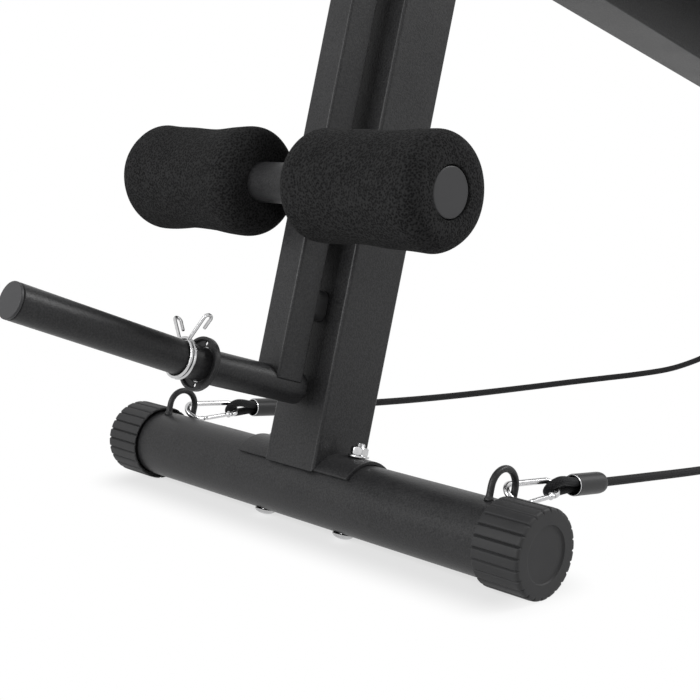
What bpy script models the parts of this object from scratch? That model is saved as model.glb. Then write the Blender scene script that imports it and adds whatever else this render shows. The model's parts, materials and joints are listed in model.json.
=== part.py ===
"""Decline sit-up bench with a leg lever, plate bar, foam rollers and two pull ropes.

Metres, +Z up. X runs along the base tubes and -Y is the foot end. The origin is on the floor,
under the middle of the bench. The posts and the beam share one leaning frame on the axis of the
front base tube: its Y axis, called n here, runs back along the beam, and its Z axis, called s,
runs up along the posts.
"""
import math

import bmesh
import bpy
from mathutils import Matrix, Vector

# Shared by every fit
GAP = 0.0003
MERGE = 0.00001
LEAN = math.radians(15.8)

# Posts and beam
TUBE_SIDE = 0.060
TUBE_WALL = 0.002
TUBE_CORNER = 0.004
POST_TOP = 0.690
BEAM_S = POST_TOP - 0.160
REAR_N = 1.050
BEAM_END = REAR_N + TUBE_SIDE / 2 + 0.010
PLUG_FLANGE = 0.003
PLUG_STUB = 0.012

# Base tubes, ribbed caps and saddles
BASE_WIDTH = 0.495
BASE_R = 0.030
BASE_WALL = 0.002
CAP_WALL = 0.0042
CAP_R = BASE_R + CAP_WALL
CAP_LENGTH = 0.042
CAP_END = 0.004
CAP_RIBS = 24
CAP_RIB_SHARE = 0.66
CAP_RIB_DEPTH = 0.0012
CAP_MOUTH_R = BASE_R + 0.0026
CAP_MOUTH_DEPTH = 0.004
CAP_DISH_R = CAP_R - 0.0127
CAP_DISH_DEPTH = 0.0012
SADDLE_THICK = 0.003
SADDLE_HALF_ANGLE = math.radians(60)
BOLT_R = 0.004
BOLT_EDGE = 0.0185
BOLT_HEAD_R = 0.009
BOLT_DOME = 0.0042
BOLT_END = 0.003
WASHER_R = 0.009
WASHER_THICK = 0.0016
NUT_FLATS = 0.013
NUT_HEIGHT = 0.0068
BOLT_X = TUBE_SIDE / 2 + BOLT_EDGE
SADDLE_LENGTH = 2 * (BOLT_X + BOLT_EDGE)

# Leg lever, its bracket and the rubber bumper
LEVER_SIDE = 0.028
LEVER_WALL = 0.002
LEVER_CORNER = 0.003
LEVER_BEHIND = 0.015
LEVER_N = -(TUBE_SIDE / 2 + LEVER_BEHIND + LEVER_SIDE / 2)
PIVOT_S = POST_TOP - 0.112
LEVER_ABOVE_PIVOT = 0.019
EAR_THICK = 0.004
EAR_SLOT = LEVER_SIDE + 0.001
EAR_R = 0.020
EAR_FOOT_HALF = 0.028
PIVOT_R = 0.005
PIVOT_FLATS = 0.017
PIVOT_HEAD = 0.0065
PIVOT_NUT = 0.0091
PIVOT_END = 0.0039
BUSH_R = 0.008
BUMPER_S = 0.149
BUMPER_WIDTH = 0.022
BUMPER_HEIGHT = 0.026
BUMPER_CORNER = 0.008

# Plate bar, stop flange and spring collar
BAR_R = 0.0137
BAR_WALL = 0.002
BAR_DETAIL = 6
BAR_REAR = (LEVER_N + 0.0210, 0.0792)
BAR_BEND = (LEVER_N - 0.0742, 0.0831)
BAR_FRONT = (LEVER_N - 0.2522, 0.1031)
BAR_BEND_REACH = 0.006
BAR_COPE = 0.005
FLANGE_AT = 0.0072
FLANGE_R = BAR_R + 0.0078
FLANGE_THICK = 0.0045
FLANGE_WEB = 0.0015
FLANGE_RIM = 0.0022
FLANGE_EDGE = 0.0008
FLANGE_HOLE_R = 0.0017
FLANGE_HOLE_AT = BAR_R + 0.0030
BAR_PLUG = 0.0025
BAR_PLUG_STUB = 0.012
COLLAR_AT = 0.0168
COLLAR_WIRE_R = 0.0014
COLLAR_STEP = 0.0032
COLLAR_OPEN = math.radians(33)
COLLAR_POINTS = 24
COLLAR_LEG_UP = 0.0150
COLLAR_LEG_OUT = 0.0105
COLLAR_LOOP = 0.0032
COLLAR_CURL = math.radians(200)
COLLAR_CURL_STEPS = 6
COLLAR_TAIL = 0.0075

# Roller axles, foam rollers and caps
AXLE_R = 0.0165
AXLE_WALL = 0.002
ANKLE_S = 0.2384
KNEE_S = POST_TOP - 0.035
ANKLE_ROLLER_IN = 0.031
KNEE_ROLLER_IN = TUBE_SIDE / 2 + 0.003
ROLLER_LENGTH = 0.137
ROLLER_R = 0.0450
ROLLER_WAIST = 0.0426
ROLLER_FACE_R = AXLE_R + 0.0115
ROLLER_ROUND = 0.017
ROLLER_POWER = 2.2
ROLLER_POINTS = 17
ROLLER_STEPS = 22
ROLLER_PLUG_R = AXLE_R + 0.0025
ROLLER_PLUG_EDGE = 0.001
ROLLER_PLUG = 0.004
ROLLER_PLUG_STUB = 0.012

# Back board, cushion, hinge and rest
HINGE_N = 0.105
HINGE_S = BEAM_S + TUBE_SIDE / 2 + 0.015
HINGE_PIN_R = 0.004
HINGE_PIN_HEAD_R = 2 * HINGE_PIN_R
HINGE_PIN_HEAD = 0.003
HINGE_HALF = 0.026
HINGE_EAR = 0.004
HINGE_EAR_R = 0.012
HINGE_FOOT = 0.003
HINGE_FOOT_HALF = 0.022
LEAF_THICK = 0.003
LEAF_LENGTH = 0.120
LEAF_LUG_R = 0.009
BOARD_RISE = 0.015
BOARD_THICK = 0.015
BOARD_WIDTH = 0.270
BOARD_CORNER = 0.030
BOARD_FROM = 0.080
BOARD_LENGTH = 1.060
PAD_THICK = 0.046
PAD_CROWN = 0.010
PAD_TUCK = 0.006
PAD_RIM = 0.012
PAD_CUTS = (3, 7, 3)
REST_N = 0.850
REST_LENGTH = 0.060
REST_WIDTH = 0.050
REST_CORNER = 0.008

# Selector plate and clamp knob
SELECTOR_N = 0.600
SELECTOR_RANGE = math.radians(16)
SELECTOR_SPARE = math.radians(1)
SELECTOR_HALF = 0.018
SELECTOR_THICK = 0.004
SELECTOR_CLEAR = 0.0035
SELECTOR_FOOT_WIDTH = 0.024
SELECTOR_FOOT_LENGTH = 0.080
SELECTOR_STEPS = 24
STUD_R = 0.005
KNOB_R = 0.026
KNOB_WAVE = 0.004
KNOB_LOBES = 6
KNOB_POINTS = 36
KNOB_THICK = 0.018
KNOB_BOSS_R = 0.012
KNOB_BOSS = 0.006
KNOB_NUT_FLATS = 0.017
KNOB_NUT = 0.0064
KNOB_STUD_END = 0.0016

# Eye loops, snap hooks and pull ropes
EYE_X = BASE_WIDTH / 2 - CAP_LENGTH - 0.0105
EYE_WIRE_R = 0.00275
EYE_HALF = 0.0145
EYE_N = 0.005
EYE_TOP = BASE_R + 0.0228
HOOK_Z = CAP_R + EYE_TOP - 0.0245
HOOK_TILT = math.radians(40)
HOOK_DIP = math.radians(5)
HOOK_WIRE_R = 0.0025
HOOK_LENGTH = 0.0572
HOOK_FRONT_R = 0.0095
HOOK_REAR_R = 0.0072
HOOK_NOSE = 0.0125
GATE_HINGE = 0.0455
GATE_R = 0.0021
KNUCKLE_R = 0.0027
KNUCKLE_HEIGHT = 0.0056
ROPE_R = 0.0037
ROPE_STEP = 0.025
ROPE_DIP = math.radians(8)
ROPE_LEAD = 0.0111
ROPE_EYE_R = ROPE_R + 0.0037
STRAND_OFFSET = ROPE_R + GAP
SLEEVE_AT = 0.023
SLEEVE_LENGTH = 0.040
SLEEVE_POCKET_R = STRAND_OFFSET + ROPE_R + GAP
SLEEVE_R = SLEEVE_POCKET_R + 0.0009
SLEEVE_POCKET = 0.010
SLEEVE_TAPER = 0.006
SLEEVE_TAIL_R = ROPE_R + 0.0013
ROPE_ROUTE = (
    (0.1955, 0.200, 0.0412),
    (0.1970, 0.284, 0.0310),
    (0.1990, 0.370, 0.0222),
    (0.2000, 0.457, 0.0148),
    (0.1985, 0.545, 0.0088),
    (0.1905, 0.629, 0.0050),
    (0.1770, 0.687, 0.0041),
    (0.1620, 0.740, 0.0040),
    (0.1510, 0.800, 0.0045),
    (0.1460, 0.855, 0.0090),
    (0.1450, 0.900, 0.0150),
    (0.1450, 0.922, 0.0158),
)

# Handles on the ropes
STRAP_WIDTH = 0.018
GRIP_BORE_R = STRAP_WIDTH / 2 + 0.0006
GRIP_R = GRIP_BORE_R + 0.0059
GRIP_LENGTH = 0.124
GRIP_EDGE = 0.003
STRAP_THICK = 0.002
STRAP_IN = 0.012
STRAP_TURN_R = 0.012
STRAP_NOSE_R = 0.006
STRAP_REACH = 0.088

SIDES = (("right", 1), ("left", -1))
ROUND = 28
MID_ROUND = 20
SMALL_ROUND = 16
TINY_ROUND = 12
BEND_STEPS = 10


# Scene, materials and the empties that carry the pieces

def clear_scene():
    for item in list(bpy.data.objects):
        bpy.data.objects.remove(item, do_unlink=True)


def new_collection(name):
    group = bpy.data.collections.new(name)
    bpy.context.scene.collection.children.link(group)
    return group


def finish(name, colour, roughness, metallic=0.0):
    material = bpy.data.materials.new(name)
    material.use_nodes = True
    shader = material.node_tree.nodes["Principled BSDF"]
    shader.inputs["Base Color"].default_value = (*colour, 1.0)
    shader.inputs["Roughness"].default_value = roughness
    shader.inputs["Metallic"].default_value = metallic
    return material


def carrier(name, parent=None, location=(0, 0, 0), rotation=(0, 0, 0)):
    """An empty that places the pieces of one sub-assembly."""
    empty = bpy.data.objects.new(name, None)
    PARTS.objects.link(empty)
    empty.parent = parent
    empty.location = location
    empty.rotation_euler = rotation
    return empty


def part(name, mesh, material, parent, location=(0, 0, 0), rotation=(0, 0, 0)):
    """One named piece of the bench."""
    piece = bpy.data.objects.new(name, mesh)
    mesh.materials.clear()
    mesh.materials.append(material)
    mesh.shade_smooth()
    mesh.set_sharp_from_angle(angle=math.radians(35))
    PARTS.objects.link(piece)
    piece.parent = parent
    piece.location = location
    piece.rotation_euler = rotation
    return piece


# Shapes: each function returns a closed mesh about its own origin

def linked(data):
    helper = bpy.data.objects.new("helper", data)
    HELPERS.objects.link(helper)
    return helper


def mesh_of(helper):
    """Evaluate a helper object with its modifiers and weld the result."""
    bpy.context.view_layer.update()
    graph = bpy.context.evaluated_depsgraph_get()
    mesh = bpy.data.meshes.new_from_object(helper.evaluated_get(graph))
    shape = bmesh.new()
    shape.from_mesh(mesh)
    bmesh.ops.remove_doubles(shape, verts=shape.verts, dist=MERGE)
    bmesh.ops.recalc_face_normals(shape, faces=shape.faces)
    shape.to_mesh(mesh)
    shape.free()
    bpy.data.objects.remove(helper)
    return mesh


def moved(mesh, location=(0, 0, 0), turn=0.0, axis="X"):
    """Turn a mesh about one axis, then move it."""
    mesh.transform(Matrix.Translation(location) @ Matrix.Rotation(turn, 4, axis))
    return mesh


def along_x(mesh):
    return moved(mesh, turn=math.pi / 2, axis="Y")


def along_n(mesh):
    return moved(mesh, turn=-math.pi / 2, axis="X")


def across(mesh):
    """Stand an outline drawn as (n, s) upright, with its thickness along X."""
    mesh.transform(Matrix(((0, 0, 1, 0), (1, 0, 0, 0), (0, 1, 0, 0), (0, 0, 0, 1))))
    return mesh


def boolean(operation, mesh, tools):
    body = linked(mesh)
    helpers = [linked(tool) for tool in tools]
    for helper in helpers:
        step = body.modifiers.new("boolean", "BOOLEAN")
        step.operation = operation
        step.solver = "EXACT"
        step.object = helper
    result = mesh_of(body)
    for helper in helpers:
        bpy.data.objects.remove(helper)
    return result


def cut(mesh, *tools):
    return boolean("DIFFERENCE", mesh, tools)


def joined(mesh, *others):
    return boolean("UNION", mesh, others)


def block(size, centre=(0, 0, 0)):
    shape = bmesh.new()
    bmesh.ops.create_cube(shape, size=1)
    bmesh.ops.scale(shape, vec=size, verts=shape.verts)
    bmesh.ops.translate(shape, vec=centre, verts=shape.verts)
    mesh = bpy.data.meshes.new("block")
    shape.to_mesh(mesh)
    shape.free()
    return mesh


def rod(radius, start, end, segments=ROUND):
    """A round or many-sided bar on the Z axis."""
    shape = bmesh.new()
    bmesh.ops.create_cone(shape, cap_ends=True, segments=segments, radius1=radius,
                          radius2=radius, depth=end - start)
    bmesh.ops.translate(shape, vec=(0, 0, (start + end) / 2), verts=shape.verts)
    mesh = bpy.data.meshes.new("rod")
    shape.to_mesh(mesh)
    shape.free()
    return mesh


def hexagon(flats, start, end):
    return rod(flats / math.sqrt(3), start, end, segments=6)


def curve_mesh(curve, lines, closed):
    for line in lines:
        spline = curve.splines.new("POLY")
        spline.points.add(len(line) - 1)
        for point, place in zip(spline.points, line):
            point.co = (*Vector(place).to_3d(), 1)
        spline.use_cyclic_u = closed
    return mesh_of(linked(curve))


def slab(outlines, start, end):
    """A flat outline with its holes, thick from start to end along Z."""
    curve = bpy.data.curves.new("slab", "CURVE")
    curve.dimensions = "2D"
    curve.fill_mode = "BOTH"
    curve.extrude = (end - start) / 2
    return moved(curve_mesh(curve, outlines, True), (0, 0, (start + end) / 2))


def wire(points, radius, detail=2):
    """A round wire or rope along points, with closed ends."""
    curve = bpy.data.curves.new("wire", "CURVE")
    curve.dimensions = "3D"
    curve.bevel_depth = radius
    curve.bevel_resolution = detail
    curve.use_fill_caps = True
    return curve_mesh(curve, [points], False)


def turned(profile, steps=SMALL_ROUND, ring=False):
    """A profile of (radius, height) turned about Z; a ring's profile closes on itself."""
    count = len(profile)
    edges = [(index, index + 1) for index in range(count - 1)]
    if ring:
        edges.append((count - 1, 0))
    mesh = bpy.data.meshes.new("turned")
    mesh.from_pydata([(radius, 0, height) for radius, height in profile], edges, [])
    helper = linked(mesh)
    screw = helper.modifiers.new("screw", "SCREW")
    screw.steps = steps
    screw.render_steps = steps
    screw.use_merge_vertices = True
    screw.merge_threshold = MERGE
    return mesh_of(helper)


# Outlines

def arc(centre, radius, start, end, steps):
    """Points on an arc, angles in radians from the first axis."""
    turns = [start + (end - start) * index / steps for index in range(steps + 1)]
    return [(centre[0] + radius * math.cos(turn), centre[1] + radius * math.sin(turn))
            for turn in turns]


def rounded(width, height, radius, steps=4):
    """A rectangle about the origin with round corners."""
    points = []
    for quarter, (across_x, across_y) in enumerate(((1, 1), (-1, 1), (-1, -1), (1, -1))):
        centre = (across_x * (width / 2 - radius), across_y * (height / 2 - radius))
        start = quarter * math.pi / 2
        points += arc(centre, radius, start, start + math.pi / 2, steps)
    return points


def square_tube(side, wall, corner, start, end):
    inner = side - 2 * wall
    return slab([rounded(side, side, corner), rounded(inner, inner, corner - wall)], start, end)


def round_tube(radius, wall, length):
    """A round tube along X, about its middle."""
    outer = arc((0, 0), radius, 0, math.tau, ROUND)[:-1]
    inner = arc((0, 0), radius - wall, 0, math.tau, ROUND)[:-1]
    return along_x(slab([outer, inner], -length / 2, length / 2))


def smooth_route(points, step):
    """Points every step along a smooth curve through the route's own points."""
    knots = [Vector(point) for point in points]
    knots = [2 * knots[0] - knots[1], *knots, 2 * knots[-1] - knots[-2]]
    fine = []
    for before, here, there, after in zip(knots, knots[1:], knots[2:], knots[3:]):
        count = max(1, round((there - here).length / step))
        for index in range(count):
            t = index / count
            bend = 2 * before - 5 * here + 4 * there - after
            twist = 3 * here - before - 3 * there + after
            fine.append(here + ((there - before) * t + bend * t * t + twist * t ** 3) / 2)
    return fine + [knots[-2]]


# Base: tube, caps, saddle and bolts

def cap_outline():
    """Ribs round the cap, one flat land at the very bottom."""
    pitch = math.tau / CAP_RIBS
    land = CAP_RIB_SHARE * pitch / 2
    points = []
    for rib in range(CAP_RIBS):
        middle = rib * pitch
        points += arc((0, 0), CAP_R / math.cos(land), middle - land, middle + land, 1)
        groove = middle + pitch / 2
        points.append(((CAP_R - CAP_RIB_DEPTH) * math.cos(groove),
                       (CAP_R - CAP_RIB_DEPTH) * math.sin(groove)))
    return points


def cap_mesh():
    """Ribbed cup along X, outer face at 0, mouth towards -X."""
    inside = -CAP_END
    cup = slab([cap_outline()], -CAP_LENGTH, 0)
    bore = rod(BASE_R + 2 * GAP, -2 * CAP_LENGTH, inside, CAP_RIBS)
    mouth = rod(CAP_MOUTH_R, -2 * CAP_LENGTH, CAP_MOUTH_DEPTH - CAP_LENGTH, CAP_RIBS)
    dish = rod(CAP_DISH_R, -CAP_DISH_DEPTH, CAP_END, CAP_RIBS)
    return along_x(cut(cup, bore, mouth, dish))


def bolt_mesh():
    """Carriage bolt with washer and nut, along s, about the base tube's axis."""
    below = -BASE_R - GAP
    seat = BASE_R + SADDLE_THICK + 2 * GAP
    washer = seat + WASHER_THICK
    top = washer + NUT_HEIGHT + BOLT_END
    dome = [(BOLT_HEAD_R * math.sin(turn), below - BOLT_DOME * math.cos(turn))
            for turn in (0, math.radians(30), math.radians(60), math.radians(90))]
    profile = [*dome, (BOLT_R, below), (BOLT_R, seat), (WASHER_R, seat), (WASHER_R, washer),
               (BOLT_R, washer), (BOLT_R, top), (0, top)]
    profile.reverse()
    return joined(turned(profile, TINY_ROUND), hexagon(NUT_FLATS, washer - GAP, washer + NUT_HEIGHT))


def bolt_holes():
    reach = 2 * BASE_R
    return [moved(rod(BOLT_R + GAP, -reach, reach, SMALL_ROUND), (side * BOLT_X, 0, 0))
            for _, side in SIDES]


def make_base(name, level, lean, seat):
    """One base: level carries the caps, lean carries what follows the posts."""
    tube_length = BASE_WIDTH - 2 * (CAP_END + GAP)
    tube = cut(round_tube(BASE_R, BASE_WALL, tube_length), *bolt_holes())
    part(f"{name}_base_tube", tube, BLACK_STEEL, lean, seat)
    inner = BASE_R + GAP
    low = math.pi / 2 - SADDLE_HALF_ANGLE
    high = math.pi / 2 + SADDLE_HALF_ANGLE
    band = (arc((0, 0), inner + SADDLE_THICK, low, high, TINY_ROUND)
            + arc((0, 0), inner, high, low, TINY_ROUND))
    saddle = across(slab([band], -SADDLE_LENGTH / 2, SADDLE_LENGTH / 2))
    part(f"{name}_saddle", cut(saddle, *bolt_holes()), BLACK_STEEL, lean, seat)
    cap = cap_mesh()
    bolt = bolt_mesh()
    for side_name, side in SIDES:
        turn = 0 if side > 0 else math.pi
        part(f"{name}_cap_{side_name}", cap, RUBBER, level, (side * BASE_WIDTH / 2, 0, 0),
             (0, 0, turn))
        part(f"{name}_bolt_{side_name}", bolt, ZINC, lean,
             (side * BOLT_X, seat[1], seat[2]))


# Frame: posts, beam and plugs

def saddle_cope():
    """The round that a post's foot is cut to, on a base tube's axis."""
    return along_x(rod(BASE_R + SADDLE_THICK + 2 * GAP, -TUBE_SIDE, TUBE_SIDE))


def square_plug():
    """Plug for a square tube's end, along Z: flange above 0, stub below."""
    inner = TUBE_SIDE - 2 * TUBE_WALL - 2 * GAP
    flange = slab([rounded(TUBE_SIDE, TUBE_SIDE, TUBE_CORNER)], 0, PLUG_FLANGE)
    stub = slab([rounded(inner, inner, TUBE_CORNER - TUBE_WALL)], -PLUG_STUB, PLUG_FLANGE / 2)
    return joined(flange, stub)


def make_frame(lean, rear_s):
    axle_hole = along_x(rod(AXLE_R + GAP, -TUBE_SIDE, TUBE_SIDE))
    post = square_tube(TUBE_SIDE, TUBE_WALL, TUBE_CORNER, 0, POST_TOP)
    post = cut(post, saddle_cope(), moved(axle_hole, (0, 0, KNEE_S)))
    part("front_post", post, BLACK_STEEL, lean)
    part("post_top_plug", square_plug(), PLASTIC, lean, (0, 0, POST_TOP + GAP))

    beam_start = TUBE_SIDE / 2 + GAP
    beam = along_n(square_tube(TUBE_SIDE, TUBE_WALL, TUBE_CORNER, beam_start, BEAM_END))
    stud_hole = along_x(rod(STUD_R + GAP, -TUBE_SIDE, TUBE_SIDE, SMALL_ROUND))
    beam = cut(beam, moved(stud_hole, (0, SELECTOR_N, 0)))
    part("main_beam", beam, BLACK_STEEL, lean, (0, 0, BEAM_S))
    part("beam_end_plug", along_n(square_plug()), PLASTIC, lean, (0, BEAM_END + GAP, BEAM_S))

    rear_top = BEAM_S - TUBE_SIDE / 2 - GAP - rear_s
    rear_post = cut(square_tube(TUBE_SIDE, TUBE_WALL, TUBE_CORNER, 0, rear_top), saddle_cope())
    part("rear_post", rear_post, BLACK_STEEL, lean, (0, REAR_N, rear_s))


# Leg lever

def ear_outline(radius, foot, foot_half):
    """Bracket cheek about its hole: foot along the second axis at distance foot, round nose."""
    nose = arc((0, 0), radius, math.radians(-70), math.radians(-290), TINY_ROUND)
    return [(foot, foot_half), (foot, -foot_half), *nose]


def make_lever_bracket(lean):
    outer = EAR_SLOT + 2 * EAR_THICK
    foot = -LEVER_N - TUBE_SIDE / 2 - GAP
    cheeks = across(slab([ear_outline(EAR_R, foot, EAR_FOOT_HALF)], -outer / 2, outer / 2))
    reach = 2 * EAR_R
    slot = block((EAR_SLOT, foot + reach, 4 * EAR_R),
                 (0, (foot - reach) / 2 - EAR_THICK, 0))
    hole = along_x(rod(PIVOT_R + GAP, -outer, outer, SMALL_ROUND))
    part("lever_bracket", cut(cheeks, slot, hole), BLACK_STEEL, lean, (0, LEVER_N, PIVOT_S))

    seat = outer / 2 + GAP
    shank = rod(PIVOT_R, -seat - PIVOT_NUT - PIVOT_END, seat + PIVOT_HEAD / 2, SMALL_ROUND)
    head = hexagon(PIVOT_FLATS, seat, seat + PIVOT_HEAD)
    nut = hexagon(PIVOT_FLATS, -seat - PIVOT_NUT, -seat)
    part("lever_pivot_bolt", along_x(joined(shank, head, nut)), ZINC, lean,
         (0, LEVER_N, PIVOT_S))

    bumper_depth = -LEVER_N - LEVER_SIDE / 2 - TUBE_SIDE / 2 - 2 * GAP
    outline = rounded(BUMPER_WIDTH, BUMPER_HEIGHT, BUMPER_CORNER)
    bumper = along_n(slab([outline], -bumper_depth, 0))
    part("lever_bumper", bumper, RUBBER, lean, (0, -TUBE_SIDE / 2 - GAP, BUMPER_S))


def bar_place(point):
    """A point of the plate bar, from the lever's pivot."""
    return Vector((0, point[0] - LEVER_N, point[1] - PIVOT_S))


def make_lever(pivot):
    foot = BAR_REAR[1] + BAR_COPE - PIVOT_S
    tube = square_tube(LEVER_SIDE, LEVER_WALL, LEVER_CORNER, foot, LEVER_ABOVE_PIVOT)
    rear, bend, front = (bar_place(point) for point in (BAR_REAR, BAR_BEND, BAR_FRONT))
    back = (rear - bend).normalized()
    ahead = (front - bend).normalized()
    cope = wire([rear + back * LEVER_SIDE, bend], BAR_R + GAP, BAR_DETAIL)
    hole = along_x(rod(BUSH_R + GAP, -LEVER_SIDE, LEVER_SIDE, SMALL_ROUND))
    part("lever_tube", cut(tube, cope, hole), BLACK_STEEL, pivot)
    outer = arc((0, 0), BUSH_R, 0, math.tau, SMALL_ROUND)[:-1]
    inner = arc((0, 0), PIVOT_R + GAP, 0, math.tau, SMALL_ROUND)[:-1]
    bush_half = EAR_SLOT / 2 - GAP
    part("lever_bush", along_x(slab([outer, inner], -bush_half, bush_half)), PLASTIC, pivot)

    bend_in = bend + back * BAR_BEND_REACH
    bend_out = bend + ahead * BAR_BEND_REACH
    middle = (bend_in + bend_out + 2 * bend) / 4
    path = [rear, bend_in, middle, bend_out, front]
    hollow = [rear - back * 2 * BAR_WALL, *path[1:-1], front + ahead * BAR_R]
    bar = cut(wire(path, BAR_R, BAR_DETAIL), wire(hollow, BAR_R - BAR_WALL, BAR_DETAIL))
    part("plate_bar", bar, BLACK_STEEL, pivot)
    turn = math.atan2(ahead.y, ahead.z)
    return carrier("bar_front", pivot, bend, (-turn, 0, 0)), (front - bend).length


def make_bar_fittings(bar_front, length):
    """Stop flange, end plug and spring collar; Z runs out along the bar."""
    bore = BAR_R + GAP
    rim = FLANGE_R - FLANGE_RIM
    profile = [(bore, FLANGE_WEB), (bore, 0), (FLANGE_R - FLANGE_EDGE, 0), (FLANGE_R, FLANGE_EDGE),
               (FLANGE_R, FLANGE_THICK - FLANGE_EDGE), (FLANGE_R - FLANGE_EDGE, FLANGE_THICK),
               (rim, FLANGE_THICK), (rim - FLANGE_EDGE, FLANGE_WEB)]
    holes = [moved(rod(FLANGE_HOLE_R, -FLANGE_R, FLANGE_R, TINY_ROUND),
                   (0, side * FLANGE_HOLE_AT, 0)) for _, side in SIDES]
    flange = cut(turned(profile, ROUND, ring=True), *holes)
    part("plate_flange", flange, BLACK_STEEL, bar_front, (0, 0, FLANGE_AT))

    stub_r = BAR_R - BAR_WALL - 2 * GAP
    profile = [(0, BAR_PLUG), (BAR_R, BAR_PLUG), (BAR_R, 0), (stub_r, 0),
               (stub_r, -BAR_PLUG_STUB), (0, -BAR_PLUG_STUB)]
    part("plate_bar_plug", turned(profile, ROUND), PLASTIC, bar_front, (0, 0, length + GAP))

    path = collar_path()
    print(f"spring collar, least gap to itself: {least_gap(path) * 1000:.2f} mm")
    place = (0, 0, FLANGE_AT + FLANGE_THICK + COLLAR_AT)
    part("spring_collar", wire(path, COLLAR_WIRE_R, 1), ZINC, bar_front, place)


def collar_leg(base, side):
    """Leg of the collar from the coil's end: out and up, with a loop curled towards the flange."""
    out = Vector((side * COLLAR_LEG_OUT, COLLAR_LEG_UP, 0))
    tip = base + out
    along = out.normalized()
    back = Vector((0, 0, -1))
    points = [base + out / 3, base + out * 2 / 3]
    for step in range(COLLAR_CURL_STEPS + 1):
        turn = COLLAR_CURL * step / COLLAR_CURL_STEPS
        points.append(tip + back * COLLAR_LOOP * (1 - math.cos(turn))
                      + along * COLLAR_LOOP * math.sin(turn))
    points.append(points[-1] - along * COLLAR_TAIL)
    return points


def collar_path():
    """Nearly two turns round the bar, then a splayed leg on each end."""
    radius = BAR_R + COLLAR_WIRE_R + GAP
    start = math.pi / 2 + COLLAR_OPEN
    end = start + 2 * math.tau - 2 * COLLAR_OPEN
    steps = 2 * COLLAR_POINTS
    coil = []
    for step in range(steps + 1):
        share = step / steps
        turn = start + (end - start) * share
        coil.append(Vector((radius * math.cos(turn), radius * math.sin(turn),
                            (2 * share - 1) * COLLAR_STEP)))
    first = collar_leg(coil[0], -1)
    return [*reversed(first), *coil, *collar_leg(coil[-1], 1)]


def least_gap(path):
    """Smallest gap between stretches of the wire that aren't neighbours along it."""
    run = [0.0]
    for here, there in zip(path, path[1:]):
        run.append(run[-1] + (there - here).length)
    apart = 6 * COLLAR_WIRE_R
    gaps = [(path[i] - path[j]).length for i in range(len(path)) for j in range(i)
            if run[i] - run[j] > apart]
    return min(gaps) - 2 * COLLAR_WIRE_R


# Roller axles with foam rollers and caps

def roller_profile():
    """Foam roller: round ends, a shallow waist and a bore for the axle."""
    outside = []
    for index in range(ROLLER_POINTS):
        share = (1 - math.cos(math.pi * index / (ROLLER_POINTS - 1))) / 2
        height = ROLLER_LENGTH * (1 - share)
        near = min(height, ROLLER_LENGTH - height) / ROLLER_ROUND
        swell = (1 - max(0, 1 - near) ** ROLLER_POWER) ** (1 / ROLLER_POWER)
        waist = ROLLER_WAIST + (ROLLER_R - ROLLER_WAIST) * math.cos(math.pi * share) ** 2
        outside.append((ROLLER_FACE_R + (waist - ROLLER_FACE_R) * swell, height))
    bore = AXLE_R + GAP
    return [(bore, ROLLER_LENGTH), *outside, (bore, 0)]


def make_rollers(name, parent, place, roller_in):
    tube_half = roller_in + ROLLER_LENGTH - GAP
    part(f"{name}_axle", round_tube(AXLE_R, AXLE_WALL, 2 * tube_half), BLACK_STEEL, parent, place)
    roller = along_x(turned(roller_profile(), ROLLER_STEPS, ring=True))
    stub_r = AXLE_R - AXLE_WALL - GAP
    profile = [(0, ROLLER_PLUG), (ROLLER_PLUG_R - 2 * ROLLER_PLUG_EDGE, ROLLER_PLUG),
               (ROLLER_PLUG_R, ROLLER_PLUG - ROLLER_PLUG_EDGE), (ROLLER_PLUG_R, 0), (stub_r, 0),
               (stub_r, -ROLLER_PLUG_STUB), (0, -ROLLER_PLUG_STUB)]
    plug = along_x(turned(profile, MID_ROUND))
    for side_name, side in SIDES:
        turn = (0, 0, 0 if side > 0 else math.pi)
        at_roller = Vector(place) + Vector((side * roller_in, 0, 0))
        part(f"{name}_roller_{side_name}", roller, FOAM, parent, at_roller, turn)
        at_plug = Vector(place) + Vector((side * (roller_in + ROLLER_LENGTH + GAP), 0, 0))
        part(f"{name}_cap_{side_name}", plug, PLASTIC, parent, at_plug, turn)


# Back board with its hinge, cushion and selector

def make_hinge(lean):
    half = HINGE_HALF + GAP
    outer = half + HINGE_EAR
    beam_top = BEAM_S + TUBE_SIDE / 2 + GAP - HINGE_S
    outline = [(-side, -down)
               for down, side in ear_outline(HINGE_EAR_R, -beam_top, HINGE_FOOT_HALF)]
    ears = across(slab([outline], -outer, outer))
    slot = block((2 * half, 4 * HINGE_EAR_R, 4 * HINGE_EAR_R),
                 (0, 0, beam_top + HINGE_FOOT + 2 * HINGE_EAR_R))
    hole = along_x(rod(HINGE_PIN_R + GAP, -2 * outer, 2 * outer, SMALL_ROUND))
    place = (0, HINGE_N, HINGE_S)
    part("hinge_ears", cut(ears, slot, hole), BLACK_STEEL, lean, place)
    seat = outer + GAP
    end = seat + HINGE_PIN_HEAD
    profile = [(0, end), (HINGE_PIN_HEAD_R, end), (HINGE_PIN_HEAD_R, seat), (HINGE_PIN_R, seat),
               (HINGE_PIN_R, -seat), (HINGE_PIN_HEAD_R, -seat), (HINGE_PIN_HEAD_R, -end), (0, -end)]
    part("hinge_pin", along_x(turned(profile)), ZINC, lean, place)
    rest_height = HINGE_S + BOARD_RISE - GAP - (BEAM_S + TUBE_SIDE / 2 + GAP)
    rest = slab([rounded(REST_WIDTH, REST_LENGTH, REST_CORNER)], 0, rest_height)
    part("board_rest", rest, RUBBER, lean, (0, REST_N, HINGE_S + beam_top))


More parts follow.
